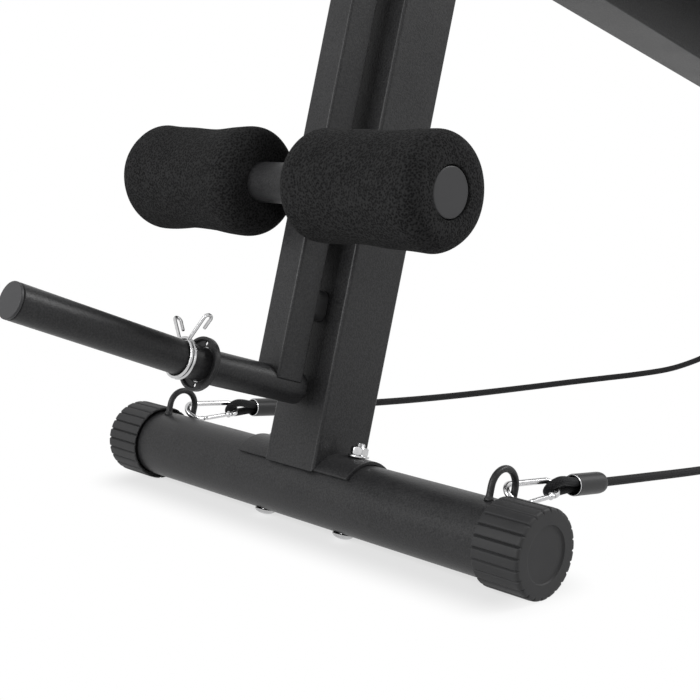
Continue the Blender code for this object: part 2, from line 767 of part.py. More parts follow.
def make_board(hinge):
    middle = BOARD_FROM + BOARD_LENGTH / 2 - HINGE_N
    top = BOARD_RISE + BOARD_THICK
    board = slab([rounded(BOARD_WIDTH, BOARD_LENGTH, BOARD_CORNER, 6)], BOARD_RISE, top)
    part("back_board", board, PLYWOOD, hinge, (0, middle, 0))

    leaf_top = BOARD_RISE - GAP
    leaf_low = leaf_top - LEAF_THICK
    lug = arc((0, 0), LEAF_LUG_R, math.pi, math.tau, TINY_ROUND)
    outline = [(-LEAF_LUG_R, leaf_top), *lug, (LEAF_LUG_R, leaf_low), (LEAF_LENGTH, leaf_low),
               (LEAF_LENGTH, leaf_top)]
    leaf = across(slab([outline], -HINGE_HALF, HINGE_HALF))
    hole = along_x(rod(HINGE_PIN_R + GAP, -TUBE_SIDE, TUBE_SIDE, SMALL_ROUND))
    part("hinge_leaf", cut(leaf, hole), BLACK_STEEL, hinge)

    pad = part("back_pad", pad_cage(), VINYL, hinge, (0, middle, top + GAP))
    soft = pad.modifiers.new("soft", "SUBSURF")
    soft.levels = 1
    soft.render_levels = 1


def pad_cage():
    """Coarse cage of the cushion: edge loops near its rims, crowned top, tucked lower edge."""
    shape = bmesh.new()
    bmesh.ops.create_cube(shape, size=1)
    for axis, cuts in enumerate(PAD_CUTS):
        runs = [edge for edge in shape.edges
                if abs((edge.verts[0].co - edge.verts[1].co)[axis]) > 0.5]
        bmesh.ops.subdivide_edges(shape, edges=runs, cuts=cuts, use_grid_fill=True)
    for vert in shape.verts:
        across_x, along_y, up = (2 * value for value in vert.co)
        tuck = PAD_TUCK * (1 - up) / 2
        half = Vector((BOARD_WIDTH / 2 - tuck, BOARD_LENGTH / 2 - tuck, PAD_THICK / 2))
        crown = PAD_CROWN * (1 - across_x ** 2) * (1 - along_y ** 4) * max(0, up)
        place = Vector()
        for axis, (value, cuts) in enumerate(zip((across_x, along_y, up), PAD_CUTS)):
            last_loop = (cuts - 1) / (cuts + 1)
            on_rim = abs(value) > (1 + last_loop) / 2
            reach = half[axis] if on_rim else half[axis] - PAD_RIM
            place[axis] = reach * max(-1, min(1, value / last_loop))
        vert.co = place + Vector((0, 0, PAD_THICK / 2 + crown))
    mesh = bpy.data.meshes.new("pad")
    shape.to_mesh(mesh)
    shape.free()
    return mesh


def make_selector(lean, hinge):
    stud = Vector((SELECTOR_N - HINGE_N, BEAM_S - HINGE_S))
    radius = stud.length
    level = math.atan2(stud.y, stud.x)
    foot_top = BOARD_RISE - GAP
    high = math.asin(foot_top / radius)
    low = level - SELECTOR_RANGE - SELECTOR_SPARE
    end = low - SELECTOR_HALF / radius
    outer = arc((0, 0), radius + SELECTOR_HALF, end, high, SELECTOR_STEPS)
    inner = arc((0, 0), radius - SELECTOR_HALF, high, end, SELECTOR_STEPS)
    slot_half = STUD_R + GAP
    slot = (arc((0, 0), radius + slot_half, low, level + SELECTOR_SPARE, SELECTOR_STEPS)
            + arc((0, 0), radius - slot_half, level + SELECTOR_SPARE, low, SELECTOR_STEPS))
    start = TUBE_SIDE / 2 + SELECTOR_CLEAR
    plate = across(slab([outer + inner, slot], start, start + SELECTOR_THICK))
    foot = block((SELECTOR_FOOT_WIDTH, SELECTOR_FOOT_LENGTH, SELECTOR_THICK),
                 (start + SELECTOR_FOOT_WIDTH / 2, radius, foot_top - SELECTOR_THICK / 2))
    trim = block((4 * SELECTOR_FOOT_WIDTH, 2 * SELECTOR_FOOT_LENGTH, SELECTOR_FOOT_LENGTH),
                 (start, radius, foot_top + SELECTOR_FOOT_LENGTH / 2))
    part("selector_plate", cut(joined(plate, foot), trim), BLACK_STEEL, hinge)

    face = start + SELECTOR_THICK + GAP
    lobes = [math.tau * index / KNOB_POINTS for index in range(KNOB_POINTS)]
    star = [(KNOB_R + KNOB_WAVE * math.cos(KNOB_LOBES * turn)) for turn in lobes]
    outline = [(reach * math.cos(turn), reach * math.sin(turn))
               for reach, turn in zip(star, lobes)]
    knob = slab([outline], face + KNOB_BOSS, face + KNOB_BOSS + KNOB_THICK)
    boss = rod(KNOB_BOSS_R, face, face + KNOB_BOSS + KNOB_THICK / 2, MID_ROUND)
    back = -TUBE_SIDE / 2 - GAP
    shaft = rod(STUD_R, back - KNOB_NUT - KNOB_STUD_END, face + KNOB_BOSS, SMALL_ROUND)
    nut = hexagon(KNOB_NUT_FLATS, back - KNOB_NUT, back)
    part("selector_knob", along_x(joined(knob, boss, shaft, nut)), PLASTIC, lean,
         (0, SELECTOR_N, BEAM_S))


# Eye loops, snap hooks, ropes and handles

def eye_mesh():
    centre = (EYE_N, EYE_TOP - EYE_HALF)
    arch = arc(centre, EYE_HALF, 0, math.pi, BEND_STEPS)
    path = [(0, EYE_N + EYE_HALF, 0), *((0, n, s) for n, s in arch), (0, EYE_N - EYE_HALF, 0)]
    return cut(wire(path, EYE_WIRE_R), along_x(rod(BASE_R + GAP, -BASE_R, BASE_R)))


def hook_mesh():
    """Snap hook lying flat, its front end at the origin and its spine on the -X side."""
    rear = HOOK_LENGTH - HOOK_REAR_R
    nose = [(HOOK_FRONT_R, HOOK_NOSE - GAP)]
    front = arc((0, HOOK_FRONT_R), HOOK_FRONT_R, 0, -math.pi, BEND_STEPS)
    back = arc((0, rear), HOOK_REAR_R, math.pi, 0, BEND_STEPS)
    tail = [(HOOK_REAR_R, GATE_HINGE)]
    body = wire([(x, y, 0) for x, y in nose + front + back + tail], HOOK_WIRE_R)
    seat = rod(KNUCKLE_R + GAP, -KNUCKLE_HEIGHT, KNUCKLE_HEIGHT, SMALL_ROUND)
    return cut(body, moved(seat, (HOOK_REAR_R, GATE_HINGE, 0)))


def hook_front():
    """How far back the hook's front lies, so that its bow just clears the eye's rear leg."""
    leg_n = EYE_N + EYE_HALF
    leg_s = (HOOK_Z - CAP_R + leg_n * math.sin(LEAN)) / math.cos(LEAN)
    leg_y = leg_s * math.sin(LEAN) + leg_n * math.cos(LEAN)
    clear = EYE_WIRE_R + HOOK_WIRE_R + GAP
    turn = Matrix.Rotation(-HOOK_DIP, 3, "X") @ Matrix.Rotation(HOOK_TILT, 3, "Y")
    fronts = []
    for x, y in arc((0, HOOK_FRONT_R), HOOK_FRONT_R, 0, -math.pi, 8 * BEND_STEPS):
        point = turn @ Vector((x, y, 0))
        if abs(point.x) < clear:
            apart = math.sqrt(clear ** 2 - point.x ** 2) / math.cos(LEAN)
            fronts.append(leg_y + point.z * math.tan(LEAN) - apart - point.y)
    return min(fronts)


def gate_mesh():
    """Straight gate from its knuckle at the origin to the hook's nose."""
    tip = Vector((HOOK_FRONT_R - HOOK_REAR_R, HOOK_NOSE + GAP - GATE_HINGE, 0))
    knuckle = rod(KNUCKLE_R, -KNUCKLE_HEIGHT / 2, KNUCKLE_HEIGHT / 2, TINY_ROUND)
    return joined(wire([(0, 0, 0), tip], GATE_R), knuckle)


def rope_eye_mesh():
    """Rope bent into an eye: round front, both strands side by side into the sleeve."""
    bend = arc((0, 0), ROPE_EYE_R, math.pi / 2, 3 * math.pi / 2, TINY_ROUND)
    inside = SLEEVE_AT + SLEEVE_POCKET - GAP
    upper = []
    for share in (0.2, 0.4, 0.6, 0.8, 1.0):
        ease = share * share * (3 - 2 * share)
        upper.append((SLEEVE_AT * share, ROPE_EYE_R + (STRAND_OFFSET - ROPE_EYE_R) * ease))
    upper.append((inside, STRAND_OFFSET))
    lower = [(along, -height) for along, height in upper]
    path = [*reversed(upper), *bend, *lower]
    return wire([(0, along, height) for along, height in path], ROPE_R)


def sleeve_mesh():
    edge = (SLEEVE_R - SLEEVE_POCKET_R) / 2
    profile = [(0, SLEEVE_LENGTH), (SLEEVE_TAIL_R, SLEEVE_LENGTH),
               (SLEEVE_R, SLEEVE_LENGTH - SLEEVE_TAPER), (SLEEVE_R, edge), (SLEEVE_R - edge, 0),
               (SLEEVE_POCKET_R, 0), (SLEEVE_POCKET_R, SLEEVE_POCKET), (0, SLEEVE_POCKET)]
    return along_n(turned(profile, SMALL_ROUND))


def grip_mesh():
    half = GRIP_LENGTH / 2
    inner = GRIP_R - GRIP_EDGE
    profile = [(GRIP_BORE_R, half), (inner, half), (GRIP_R, half - GRIP_EDGE),
               (GRIP_R, GRIP_EDGE - half), (inner, -half), (GRIP_BORE_R, -half)]
    return along_x(turned(profile, SMALL_ROUND, ring=True))


def strap_mesh():
    """Webbing bent to a V: both ends in the grip, the nose at the origin, standing on edge."""
    turn_x = GRIP_LENGTH / 2 + GAP
    turn_y = STRAP_REACH - STRAP_TURN_R
    reach = math.hypot(turn_x, turn_y - STRAP_NOSE_R)
    slope = math.atan2(turn_y - STRAP_NOSE_R, turn_x)
    lean = slope - math.asin((STRAP_TURN_R - STRAP_NOSE_R) / reach)
    normal = lean - math.pi / 2
    half = []
    for offset in (STRAP_THICK / 2, -STRAP_THICK / 2):
        nose = arc((0, STRAP_NOSE_R), STRAP_NOSE_R + offset, -math.pi / 2, normal, 4)
        corner = arc((turn_x, turn_y), STRAP_TURN_R + offset, normal, math.pi / 2, 8)
        half.append(nose + corner + [(turn_x - STRAP_IN, STRAP_REACH + offset)])
    outer, inner = half
    mirror_outer = [(-x, y) for x, y in reversed(outer[1:])]
    mirror_inner = [(-x, y) for x, y in inner[1:]]
    outline = mirror_outer + outer + list(reversed(inner)) + mirror_inner
    return slab([outline], -STRAP_WIDTH / 2, STRAP_WIDTH / 2)


def make_rope(bench, lean, side_name, side):
    part(f"eye_loop_{side_name}", eye_mesh(), BLACK_STEEL, lean, (side * EYE_X, 0, 0))
    front = hook_front()
    hang = carrier(f"hook_hang_{side_name}", bench, (side * EYE_X, front, HOOK_Z),
                   (-HOOK_DIP, 0, 0))
    hook = carrier(f"hook_{side_name}", hang, (0, 0, 0), (0, HOOK_TILT, 0))
    part(f"carabiner_{side_name}", hook_mesh(), ZINC, hook)
    part(f"carabiner_gate_{side_name}", gate_mesh(), ZINC, hook, (HOOK_REAR_R, GATE_HINGE, 0))

    held = ROPE_EYE_R - ROPE_R - HOOK_WIRE_R - GAP
    lead_y = front + (HOOK_LENGTH + held) * math.cos(HOOK_DIP)
    lead_z = HOOK_Z - (HOOK_LENGTH + held) * math.sin(HOOK_DIP)
    lead = carrier(f"rope_lead_{side_name}", bench, (side * EYE_X, lead_y, lead_z),
                   (-ROPE_DIP, 0, 0))
    part(f"rope_eye_{side_name}", rope_eye_mesh(), ROPE, lead, (0, 0, 0), (0, HOOK_TILT, 0))
    part(f"rope_sleeve_{side_name}", sleeve_mesh(), RUBBER, lead, (0, SLEEVE_AT, 0))

    route = []
    sleeve_end = SLEEVE_AT + SLEEVE_LENGTH
    for reach in (sleeve_end + GAP, sleeve_end + ROPE_LEAD):
        route.append((side * EYE_X, lead_y + reach * math.cos(ROPE_DIP),
                      lead_z - reach * math.sin(ROPE_DIP)))
    route += [(side * x, y, z) for x, y, z in ROPE_ROUTE]
    fine = smooth_route(route, ROPE_STEP)
    run = sum((there - here).length for here, there in zip(fine, fine[1:]))
    print(f"rope_{side_name}: {run:.3f} m long")
    part(f"rope_{side_name}", wire(fine, ROPE_R), ROPE, bench)

    end = Vector(route[-1])
    hold = carrier(f"handle_{side_name}", bench, end + Vector((0, STRAP_THICK / 2 + GAP, 0)))
    part(f"handle_strap_{side_name}", strap_mesh(), WEBBING, hold)
    part(f"handle_grip_{side_name}", grip_mesh(), FOAM, hold, (0, STRAP_REACH, 0))


def centre_on_floor(bench):
    """Move the bench so that the origin lies under the middle of its box, ropes left out."""
    bpy.context.view_layer.update()
    graph = bpy.context.evaluated_depsgraph_get()
    rope_pieces = ("rope_right", "rope_left", "handle_")
    reach = []
    for piece in PARTS.objects:
        if piece.type == "MESH" and not piece.name.startswith(rope_pieces):
            mesh = piece.evaluated_get(graph).data
            reach += [(piece.matrix_world @ vert.co).y for vert in mesh.vertices]
    bench.location.y = -(min(reach) + max(reach)) / 2
    bpy.context.view_layer.update()
    print(f"front base tube axis at y = {bench.location.y:.5f}")


clear_scene()
PARTS = new_collection("decline_sit_up_bench")
HELPERS = new_collection("construction")

BLACK_STEEL = finish("black powder coat", (0.045, 0.045, 0.048), 0.45)
ZINC = finish("bright zinc", (0.72, 0.72, 0.72), 0.25, 1.0)
RUBBER = finish("black rubber", (0.035, 0.035, 0.036), 0.62)
PLASTIC = finish("dark grey plastic", (0.055, 0.055, 0.058), 0.5)
FOAM = finish("black foam", (0.016, 0.016, 0.018), 0.9)
VINYL = finish("black vinyl", (0.020, 0.020, 0.022), 0.42)
PLYWOOD = finish("painted plywood", (0.030, 0.028, 0.026), 0.7)
ROPE = finish("black braided rope", (0.022, 0.022, 0.024), 0.8)
WEBBING = finish("black webbing", (0.024, 0.024, 0.026), 0.85)

bench_root = carrier("bench")
front_level = carrier("front_level", bench_root, (0, 0, CAP_R))
lean_frame = carrier("lean_frame", bench_root, (0, 0, CAP_R), (-LEAN, 0, 0))
rear_level = carrier("rear_level", bench_root, (0, REAR_N / math.cos(LEAN), CAP_R))
rear_seat = (0, REAR_N, REAR_N * math.tan(LEAN))
make_base("front", front_level, lean_frame, (0, 0, 0))
make_base("rear", rear_level, lean_frame, rear_seat)
make_frame(lean_frame, rear_seat[2])

lever_pivot = carrier("lever_pivot", lean_frame, (0, LEVER_N, PIVOT_S))
make_lever_bracket(lean_frame)
make_bar_fittings(*make_lever(lever_pivot))
ankle_n = -LEVER_SIDE / 2 - GAP - AXLE_R
make_rollers("ankle", lever_pivot, (0, ankle_n, ANKLE_S - PIVOT_S), ANKLE_ROLLER_IN)
make_rollers("knee", lean_frame, (0, 0, KNEE_S), KNEE_ROLLER_IN)

board_hinge = carrier("board_hinge", lean_frame, (0, HINGE_N, HINGE_S))
make_hinge(lean_frame)
make_board(board_hinge)
make_selector(lean_frame, board_hinge)
for hand, direction in SIDES:
    make_rope(bench_root, lean_frame, hand, direction)
centre_on_floor(bench_root)
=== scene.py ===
# %% [markdown]
# # A decline sit-up bench, finished piece by piece
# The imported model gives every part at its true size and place. This lesson puts a finished surface
# on each of them: powder coat on the tubes, foam on the rollers, rubber on the caps. Nothing here
# moves a part: a new skin replaces the plain solid and rides on the same body.

import json
import math

import bmesh
import bpy
import numpy as np
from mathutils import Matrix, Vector

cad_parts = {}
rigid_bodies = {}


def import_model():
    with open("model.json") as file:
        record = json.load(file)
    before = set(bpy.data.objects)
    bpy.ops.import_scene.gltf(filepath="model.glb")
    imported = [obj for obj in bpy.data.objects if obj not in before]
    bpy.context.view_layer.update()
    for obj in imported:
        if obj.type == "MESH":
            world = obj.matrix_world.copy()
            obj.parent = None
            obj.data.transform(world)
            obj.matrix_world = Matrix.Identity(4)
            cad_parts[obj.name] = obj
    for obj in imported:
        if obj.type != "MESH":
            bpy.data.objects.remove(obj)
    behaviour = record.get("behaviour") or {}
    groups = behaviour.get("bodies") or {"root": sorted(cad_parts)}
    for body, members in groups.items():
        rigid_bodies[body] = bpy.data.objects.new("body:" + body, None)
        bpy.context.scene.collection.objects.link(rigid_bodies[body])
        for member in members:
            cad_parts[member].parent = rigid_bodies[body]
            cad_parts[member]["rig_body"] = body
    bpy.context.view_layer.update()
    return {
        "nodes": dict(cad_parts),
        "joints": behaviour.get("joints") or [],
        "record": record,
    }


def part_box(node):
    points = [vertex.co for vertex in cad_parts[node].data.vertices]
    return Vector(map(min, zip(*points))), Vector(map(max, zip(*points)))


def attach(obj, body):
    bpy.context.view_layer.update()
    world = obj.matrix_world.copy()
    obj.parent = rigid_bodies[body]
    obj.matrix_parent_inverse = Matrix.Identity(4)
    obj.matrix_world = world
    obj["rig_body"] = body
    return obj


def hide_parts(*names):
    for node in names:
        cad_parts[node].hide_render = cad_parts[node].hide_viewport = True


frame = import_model()
NODES = frame["nodes"]
JOINTS = {joint["name"]: joint for joint in frame["joints"]}
SLOTS = {row["node"]: row["material_slot"] for row in frame["record"]["subparts"]}

# %% [markdown]
# The posts and the beam share one leaning frame on the axis of the front base tube. Its second axis,
# n, runs back along the beam and its third, s, runs up along the posts. Points are worked out in a
# local frame like this one and carried to the world by one matrix product. Parts that fit together
# keep a small gap.

# %% Local frames
LEAN = math.radians(15.8)
LEVEL_AXES = np.eye(3)
GAP = 0.0003


def dipped(dip, tilt=0.0):
    """Axes whose second one dips below the level, after a turn of tilt about that axis."""
    down = np.array([[1, 0, 0],
                     [0, math.cos(dip), -math.sin(dip)],
                     [0, math.sin(dip), math.cos(dip)]])
    roll = np.array([[math.cos(tilt), 0, -math.sin(tilt)],
                     [0, 1, 0],
                     [math.sin(tilt), 0, math.cos(tilt)]])
    return roll @ down


LEAN_AXES = dipped(LEAN)


def middle(node):
    """Centre of a part's box."""
    low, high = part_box(node)
    return np.array((low + high) / 2)


def placed(points, origin, axes):
    """World points: the origin plus each local coordinate along its own axis."""
    return np.asarray(origin) + np.asarray(points) @ np.asarray(axes)


FOOT = middle("front_base_tube")
HEAD = middle("rear_base_tube")


def leaning(x, n, s):
    """The world point at x, n, s of the leaning frame."""
    return placed((x, n, s), FOOT, LEAN_AXES)


print("front tube axis", FOOT.round(4), "rear tube axis", HEAD.round(4))

# %% [markdown]
# The camera stands where the photographer stood, low and to the right of the foot end. It comes
# first, with the ropes, because the ropes have to lie inside the space that the part may take.

# %% Camera
CAMERA_FROM_FOOT = (0.78245, -0.71947, 0.34156)
CAMERA_YAW = math.radians(45.583)
CAMERA_PITCH = math.radians(-10.196)
CAMERA_LENS = 67.09


def in_scene(name, data):
    """A new object at the scene's origin."""
    made = bpy.data.objects.new(name, data)
    bpy.context.scene.collection.objects.link(made)
    return made


camera = in_scene("camera", bpy.data.cameras.new("camera"))
camera.data.lens = CAMERA_LENS
camera.data.clip_start = 0.01
camera.location = (CAMERA_FROM_FOOT[0], FOOT[1] + CAMERA_FROM_FOOT[1], CAMERA_FROM_FOOT[2])
camera.rotation_euler = (math.pi / 2 + CAMERA_PITCH, 0, CAMERA_YAW)
bpy.context.scene.camera = camera

# %% [markdown]
# Every new surface is a grid of points with rows along it and columns around it. One function turns
# such a grid into a closed mesh: it joins neighbours with quads, closes the ends, welds the poles
# and points the faces outwards. It also lays down a UV map in metres, along and around, which the
# woven finishes follow.

# %% From a grid to a mesh
WELD = 1e-6
SMOOTH_BELOW = math.radians(38)


def grid_uv(grid, around, along):
    """Length along the rows and around the columns, one extra row and column for the seams."""
    full = np.concatenate([grid, grid[:, :1]], 1) if around else grid
    full = np.concatenate([full, full[:1]], 0) if along else full
    down = np.linalg.norm(np.diff(full, axis=0), axis=2).mean(1)
    across = np.linalg.norm(np.diff(full, axis=1), axis=2).max(0)
    u, v = np.meshgrid(np.append(0, np.cumsum(down)), np.append(0, np.cumsum(across)), indexing="ij")
    return np.stack([u, v], -1)


def mesh_from(grids):
    """One mesh from several grids, each given as (points, columns closed, rows closed)."""
    points, faces, corners = [], [], []
    start = 0
    for grid, around, along in grids:
        rows, columns = grid.shape[:2]
        row, column = np.meshgrid(np.arange(rows - (not along)), np.arange(columns - (not around)),
                                  indexing="ij")
        uv = grid_uv(grid, around, along)
        steps = ((0, 0), (0, 1), (1, 1), (1, 0))
        quads = [(row + a) % rows * columns + (column + b) % columns for a, b in steps]
        faces += (np.stack(quads, -1).reshape(-1, 4) + start).tolist()
        corners.append(np.stack([uv[row + a, column + b] for a, b in steps], 2).reshape(-1, 2))
        if around and not along:
            for end in (0, rows - 1):
                faces.append((start + end * columns + np.arange(columns)).tolist())
                corners.append(uv[end, :columns])
        points.append(grid.reshape(-1, 3))
        start += rows * columns
    mesh = bpy.data.meshes.new("surface")
    mesh.from_pydata(np.concatenate(points).tolist(), [], faces)
    mesh.uv_layers.new(name="along_and_around").data.foreach_set("uv", np.concatenate(corners).ravel())
    shape = bmesh.new()
    shape.from_mesh(mesh)
    bmesh.ops.remove_doubles(shape, verts=shape.verts, dist=WELD)
    bmesh.ops.recalc_face_normals(shape, faces=shape.faces)
    shape.to_mesh(mesh)
    shape.free()
    return mesh


def closed(grid):
    """A grid that closes around its columns and has two ends."""
    return (grid, True, False)


def ring(grid):
    """A grid that closes both ways."""
    return (grid, True, True)


# %% [markdown]
# Four ways to fill a grid make nearly the whole bench: a profile turned about an axis, an outline
# pushed along a line, a round wire carried along a path, and a tube with square walls. Corners are
# rounded as the real edges are, because a soft edge is what catches the light.

# %% Profiles, outlines and paths
def soft_line(corners, radius, steps=4, loop=False):
    """A line through corners, each rounded by a curve that leaves and meets its sides smoothly."""
    corners = np.asarray(corners, float)
    count = len(corners)
    ease = np.linspace(0, 1, steps + 1)[:, None]
    line = []
    for index in range(count):
        here = corners[index]
        if not loop and index in (0, count - 1):
            line.append(here[None])
            continue
        before, after = corners[index - 1] - here, corners[(index + 1) % count] - here
        reach = min(radius, 0.45 * np.linalg.norm(before), 0.45 * np.linalg.norm(after))
        first = here + before / np.linalg.norm(before) * reach
        last = here + after / np.linalg.norm(after) * reach
        line.append((1 - ease) ** 2 * first + 2 * ease * (1 - ease) * here + ease ** 2 * last)
    return np.concatenate(line)


def circle(columns):
    """Angles once round, the last one left out."""
    return np.linspace(0, math.tau, columns, endpoint=False)


def polar(radius, angle, height):
    """Points about the third axis: (r cos a, r sin a, h)."""
    return np.stack([radius * np.cos(angle), radius * np.sin(angle), height + 0 * angle], -1)


def turned(profile, columns=64):
    """A line of (radius, height) turned about the third axis."""
    radius, height = np.asarray(profile, float).T[:, :, None]
    return polar(radius, circle(columns), height)


def rounded_box(width, depth, radius, steps=8):
    """A rectangle about the origin with round corners: four quarter circles."""
    turn = np.linspace(0, math.pi / 2, steps + 1) + np.arange(4)[:, None] * math.pi / 2
    corner = np.array([(1, 1), (-1, 1), (-1, -1), (1, -1)])[:, None]
    centre = corner * (np.array([width, depth]) / 2 - radius)
    return (centre + radius * np.stack([np.cos(turn), np.sin(turn)], -1)).reshape(-1, 2)


def outward(outline):
    """Unit normals of a closed outline that runs anticlockwise."""
    run = np.roll(outline, -1, 0) - np.roll(outline, 1, 0)
    return np.stack([run[:, 1], -run[:, 0]], -1) / np.linalg.norm(run, axis=1)[:, None]


def pushed(outline, low, high, edge, steps=4):
    """An outline pushed from low to high, both rims rounded by a quarter circle of size edge."""
    turn = np.linspace(0, math.pi / 2, steps + 1)
    rise, inset = edge * (1 - np.cos(turn)), edge * (1 - np.sin(turn))
    height = np.concatenate([low + rise, (high - rise)[::-1]])[:, None]
    inset = np.concatenate([inset, inset[::-1]])[:, None, None]
    flat = outline - inset * outward(outline)
    return np.concatenate([flat, (height + 0 * flat[:, :, 0])[:, :, None]], -1)


def swept(path, radius, up, columns=20, tip=0.3):
    """A round wire along a path; up, one or one a point, is off the path; tip rounds the ends."""
    path = np.asarray(path, float)
    radius = np.broadcast_to(radius, len(path)).astype(float)
    turn = np.linspace(0, math.pi / 2, 4)[:, None]
    first, last = path[0] - path[1], path[-1] - path[-2]
    first, last = first / np.linalg.norm(first), last / np.linalg.norm(last)
    soft = tip * radius[[0, -1]]
    head = path[0] - first * soft[0] * (1 - np.cos(turn))
    tail = path[-1] - last * soft[1] * (1 - np.cos(turn[::-1]))
    ends = soft[:, None] * (np.sin(turn.T) - 1) + radius[[0, -1]][:, None]
    inner = slice(1, -1)
    line = np.concatenate([head, path[inner], tail])
    size = np.concatenate([ends[0], radius[inner], ends[1][::-1]])
    run = np.gradient(line, axis=0)
    run = np.concatenate([[path[1] - path[0]] * 4, run[4:-4], [path[-1] - path[-2]] * 4])
    run /= np.linalg.norm(run, axis=1)[:, None]
    up = np.broadcast_to(np.asarray(up, float), path.shape)
    side = np.cross(run, np.concatenate([up[[0] * 4], up[inner], up[[-1] * 4]]))
    side /= np.linalg.norm(side, axis=1)[:, None]
    over = np.cross(side, run)
    angle = circle(columns)[None, :, None]
    around = side[:, None] * np.cos(angle) + over[:, None] * np.sin(angle)
    return line[:, None] + size[:, None, None] * around


def arc(centre, radius, start, end, steps):
    """Points of an arc in a plane, angles in degrees."""
    turn = np.radians(np.linspace(start, end, steps + 1))
    return np.asarray(centre) + radius * np.stack([np.cos(turn), np.sin(turn)], -1)


# %% [markdown]
# A finish is a small graph of shader nodes. Writing that graph as Python expressions keeps it
# readable: a Socket stands for one value of the graph, and adding or multiplying it adds a Math
# node. Every other node comes from one method.

# %% Shader maths
class Socket:
    """A value in a material's graph that takes part in Python expressions."""

    def __init__(self, finish, link):
        self.finish, self.link = finish, link

    def maths(self, operation, *values):
        inputs = dict(enumerate(values))
        return self.finish.node("ShaderNodeMath", {"operation": operation}, inputs)

    def __add__(self, other):
        return self.maths("ADD", self, other)

    def __sub__(self, other):
        return self.maths("SUBTRACT", self, other)

    def __rsub__(self, other):
        return self.maths("SUBTRACT", other, self)

    def __mul__(self, other):
        return self.maths("MULTIPLY", self, other)

    __radd__ = __add__
    __rmul__ = __mul__


class Finish:
    """A material in the making. Constants go straight to the shader's sockets."""

    def __init__(self, name, **constants):
        self.material = bpy.data.materials.new(name)
        self.material.use_nodes = True
        self.tree = self.material.node_tree
        self.shader = self.tree.nodes["Principled BSDF"]
        for name, value in constants.items():
            socket = name.replace("_", " ").title().replace("Ior", "IOR")
            self.shader.inputs[socket].default_value = value

    def node(self, kind, settings=None, inputs=None, output=0):
        made = self.tree.nodes.new(kind)
        for name, value in (settings or {}).items():
            setattr(made, name, value)
        for name, value in (inputs or {}).items():
            self.plug(made.inputs[name], value)
        return Socket(self, made.outputs[output])

    def plug(self, socket, value):
        if isinstance(value, Socket):
            self.tree.links.new(value.link, socket)
        else:
            socket.default_value = value

    def vector(self, operation, *values, output=0):
        """A sum on whole vectors."""
        inputs = dict(enumerate(values))
        return self.node("ShaderNodeVectorMath", {"operation": operation}, inputs, output)

    def place(self, stretch=(1, 1, 1)):
        """Coordinates on the piece, stretched along its axes."""
        return self.vector("MULTIPLY", self.node("ShaderNodeTexCoord", output="Object"), stretch)

    def noise(self, scale, detail=2.0, stretch=(1, 1, 1)):
        """Cloudy noise, 0 to 1, with features of about one over scale metres."""
        inputs = {"Vector": self.place(stretch), "Scale": scale, "Detail": detail}
        return self.node("ShaderNodeTexNoise", None, inputs)

    def cells(self, scale, feature="F1"):
        """Distance inside the cells of a foam or a grain."""
        inputs = {"Vector": self.place(), "Scale": scale}
        return self.node("ShaderNodeTexVoronoi", {"feature": feature}, inputs)

    def step(self, value, low, high):
        """0 below low, 1 above high, smooth between."""
        inputs = {0: value, 1: low, 2: high}
        return self.node("ShaderNodeMapRange", {"interpolation_type": "SMOOTHSTEP"}, inputs)

    def colour(self, factor, dark, light):
        """Base colour between two colours."""
        inputs = {0: factor, 6: (*dark, 1), 7: (*light, 1)}
        mixed = self.node("ShaderNodeMix", {"data_type": "RGBA"}, inputs, 2)
        self.plug(self.shader.inputs["Base Color"], mixed)

    def roughness(self, value):
        self.plug(self.shader.inputs["Roughness"], value)

    def bump(self, height, depth, strength=1.0):
        """Relief of that depth in metres."""
        inputs = {"Height": height, "Distance": depth, "Strength": strength}
        self.plug(self.shader.inputs["Normal"], self.node("ShaderNodeBump", None, inputs))


# %% [markdown]
# Powder coat is paint baked from powder: matt black, with a fine orange peel under the finger. Noise
# of three sizes gives it: fine specks, whose lighter colour is a painted sparkle, the peel, and the
# slight, broad mottling of a large tube.

# %% Powder coat
def powder_coat():
    coat = Finish("powder_coat", specular_ior_level=0.22)
    peel = coat.step(coat.noise(680, 3), 0.28, 0.72)
    mottle = coat.noise(26, 3)
    # The specks are small raised dots; their lighter colour is a painted sparkle.
    speck_with_painted_sparkle = coat.step(coat.noise(1100, 1), 0.50, 0.74)
    coat.colour(mottle * 0.35 + peel * 0.40 + speck_with_painted_sparkle * 0.25, (0.011, 0.011, 0.012), (0.052, 0.052, 0.053))
    coat.roughness(mottle * 0.10 + peel * 0.10 + 0.28)
    coat.bump(peel + speck_with_painted_sparkle * 0.3, 0.00010, 0.6)
    return coat.material


# %% [markdown]
# Zinc plate is bright and a little cloudy. It covers the bolts, the snap hooks and the spring
# collar, all of them small, so the clouds are only a few millimetres wide.

# %% Zinc plate
def zinc_plate():
    zinc = Finish("zinc_plate", metallic=1.0)
    cloud = zinc.noise(260, 3)
    draw = zinc.noise(900, 2, (1, 0.12, 1))
    zinc.colour(cloud, (0.42, 0.42, 0.43), (0.64, 0.64, 0.64))
    zinc.roughness(cloud * 0.10 + draw * 0.08 + 0.12)
    zinc.bump(draw, 0.00002, 0.4)
    return zinc.material


# %% [markdown]
# Moulded rubber and moulded plastic differ mostly in gloss. Both take the fine grain of the mould;
# the rubber also holds a trace of pale dust.

# %% Rubber and plastic
def moulded(name, dark, light, gloss_low, gloss_high, grain, depth, level):
    skin = Finish(name, specular_ior_level=level)
    fine = skin.noise(grain, 2)
    broad = skin.noise(45, 4)
    skin.colour(broad * 0.7 + fine * 0.3, dark, light)
    skin.roughness(fine * (gloss_high - gloss_low) + gloss_low)
    skin.bump(fine, depth, 0.5)
    return skin.material


def cap_rubber():
    return moulded("cap_rubber", (0.020, 0.020, 0.021), (0.038, 0.038, 0.039), 0.50, 0.66, 1900,
                   0.00008, 0.28)


def plug_plastic():
    return moulded("plug_plastic", (0.032, 0.032, 0.034), (0.048, 0.048, 0.050), 0.40, 0.55, 2300,
                   0.00006, 0.3)


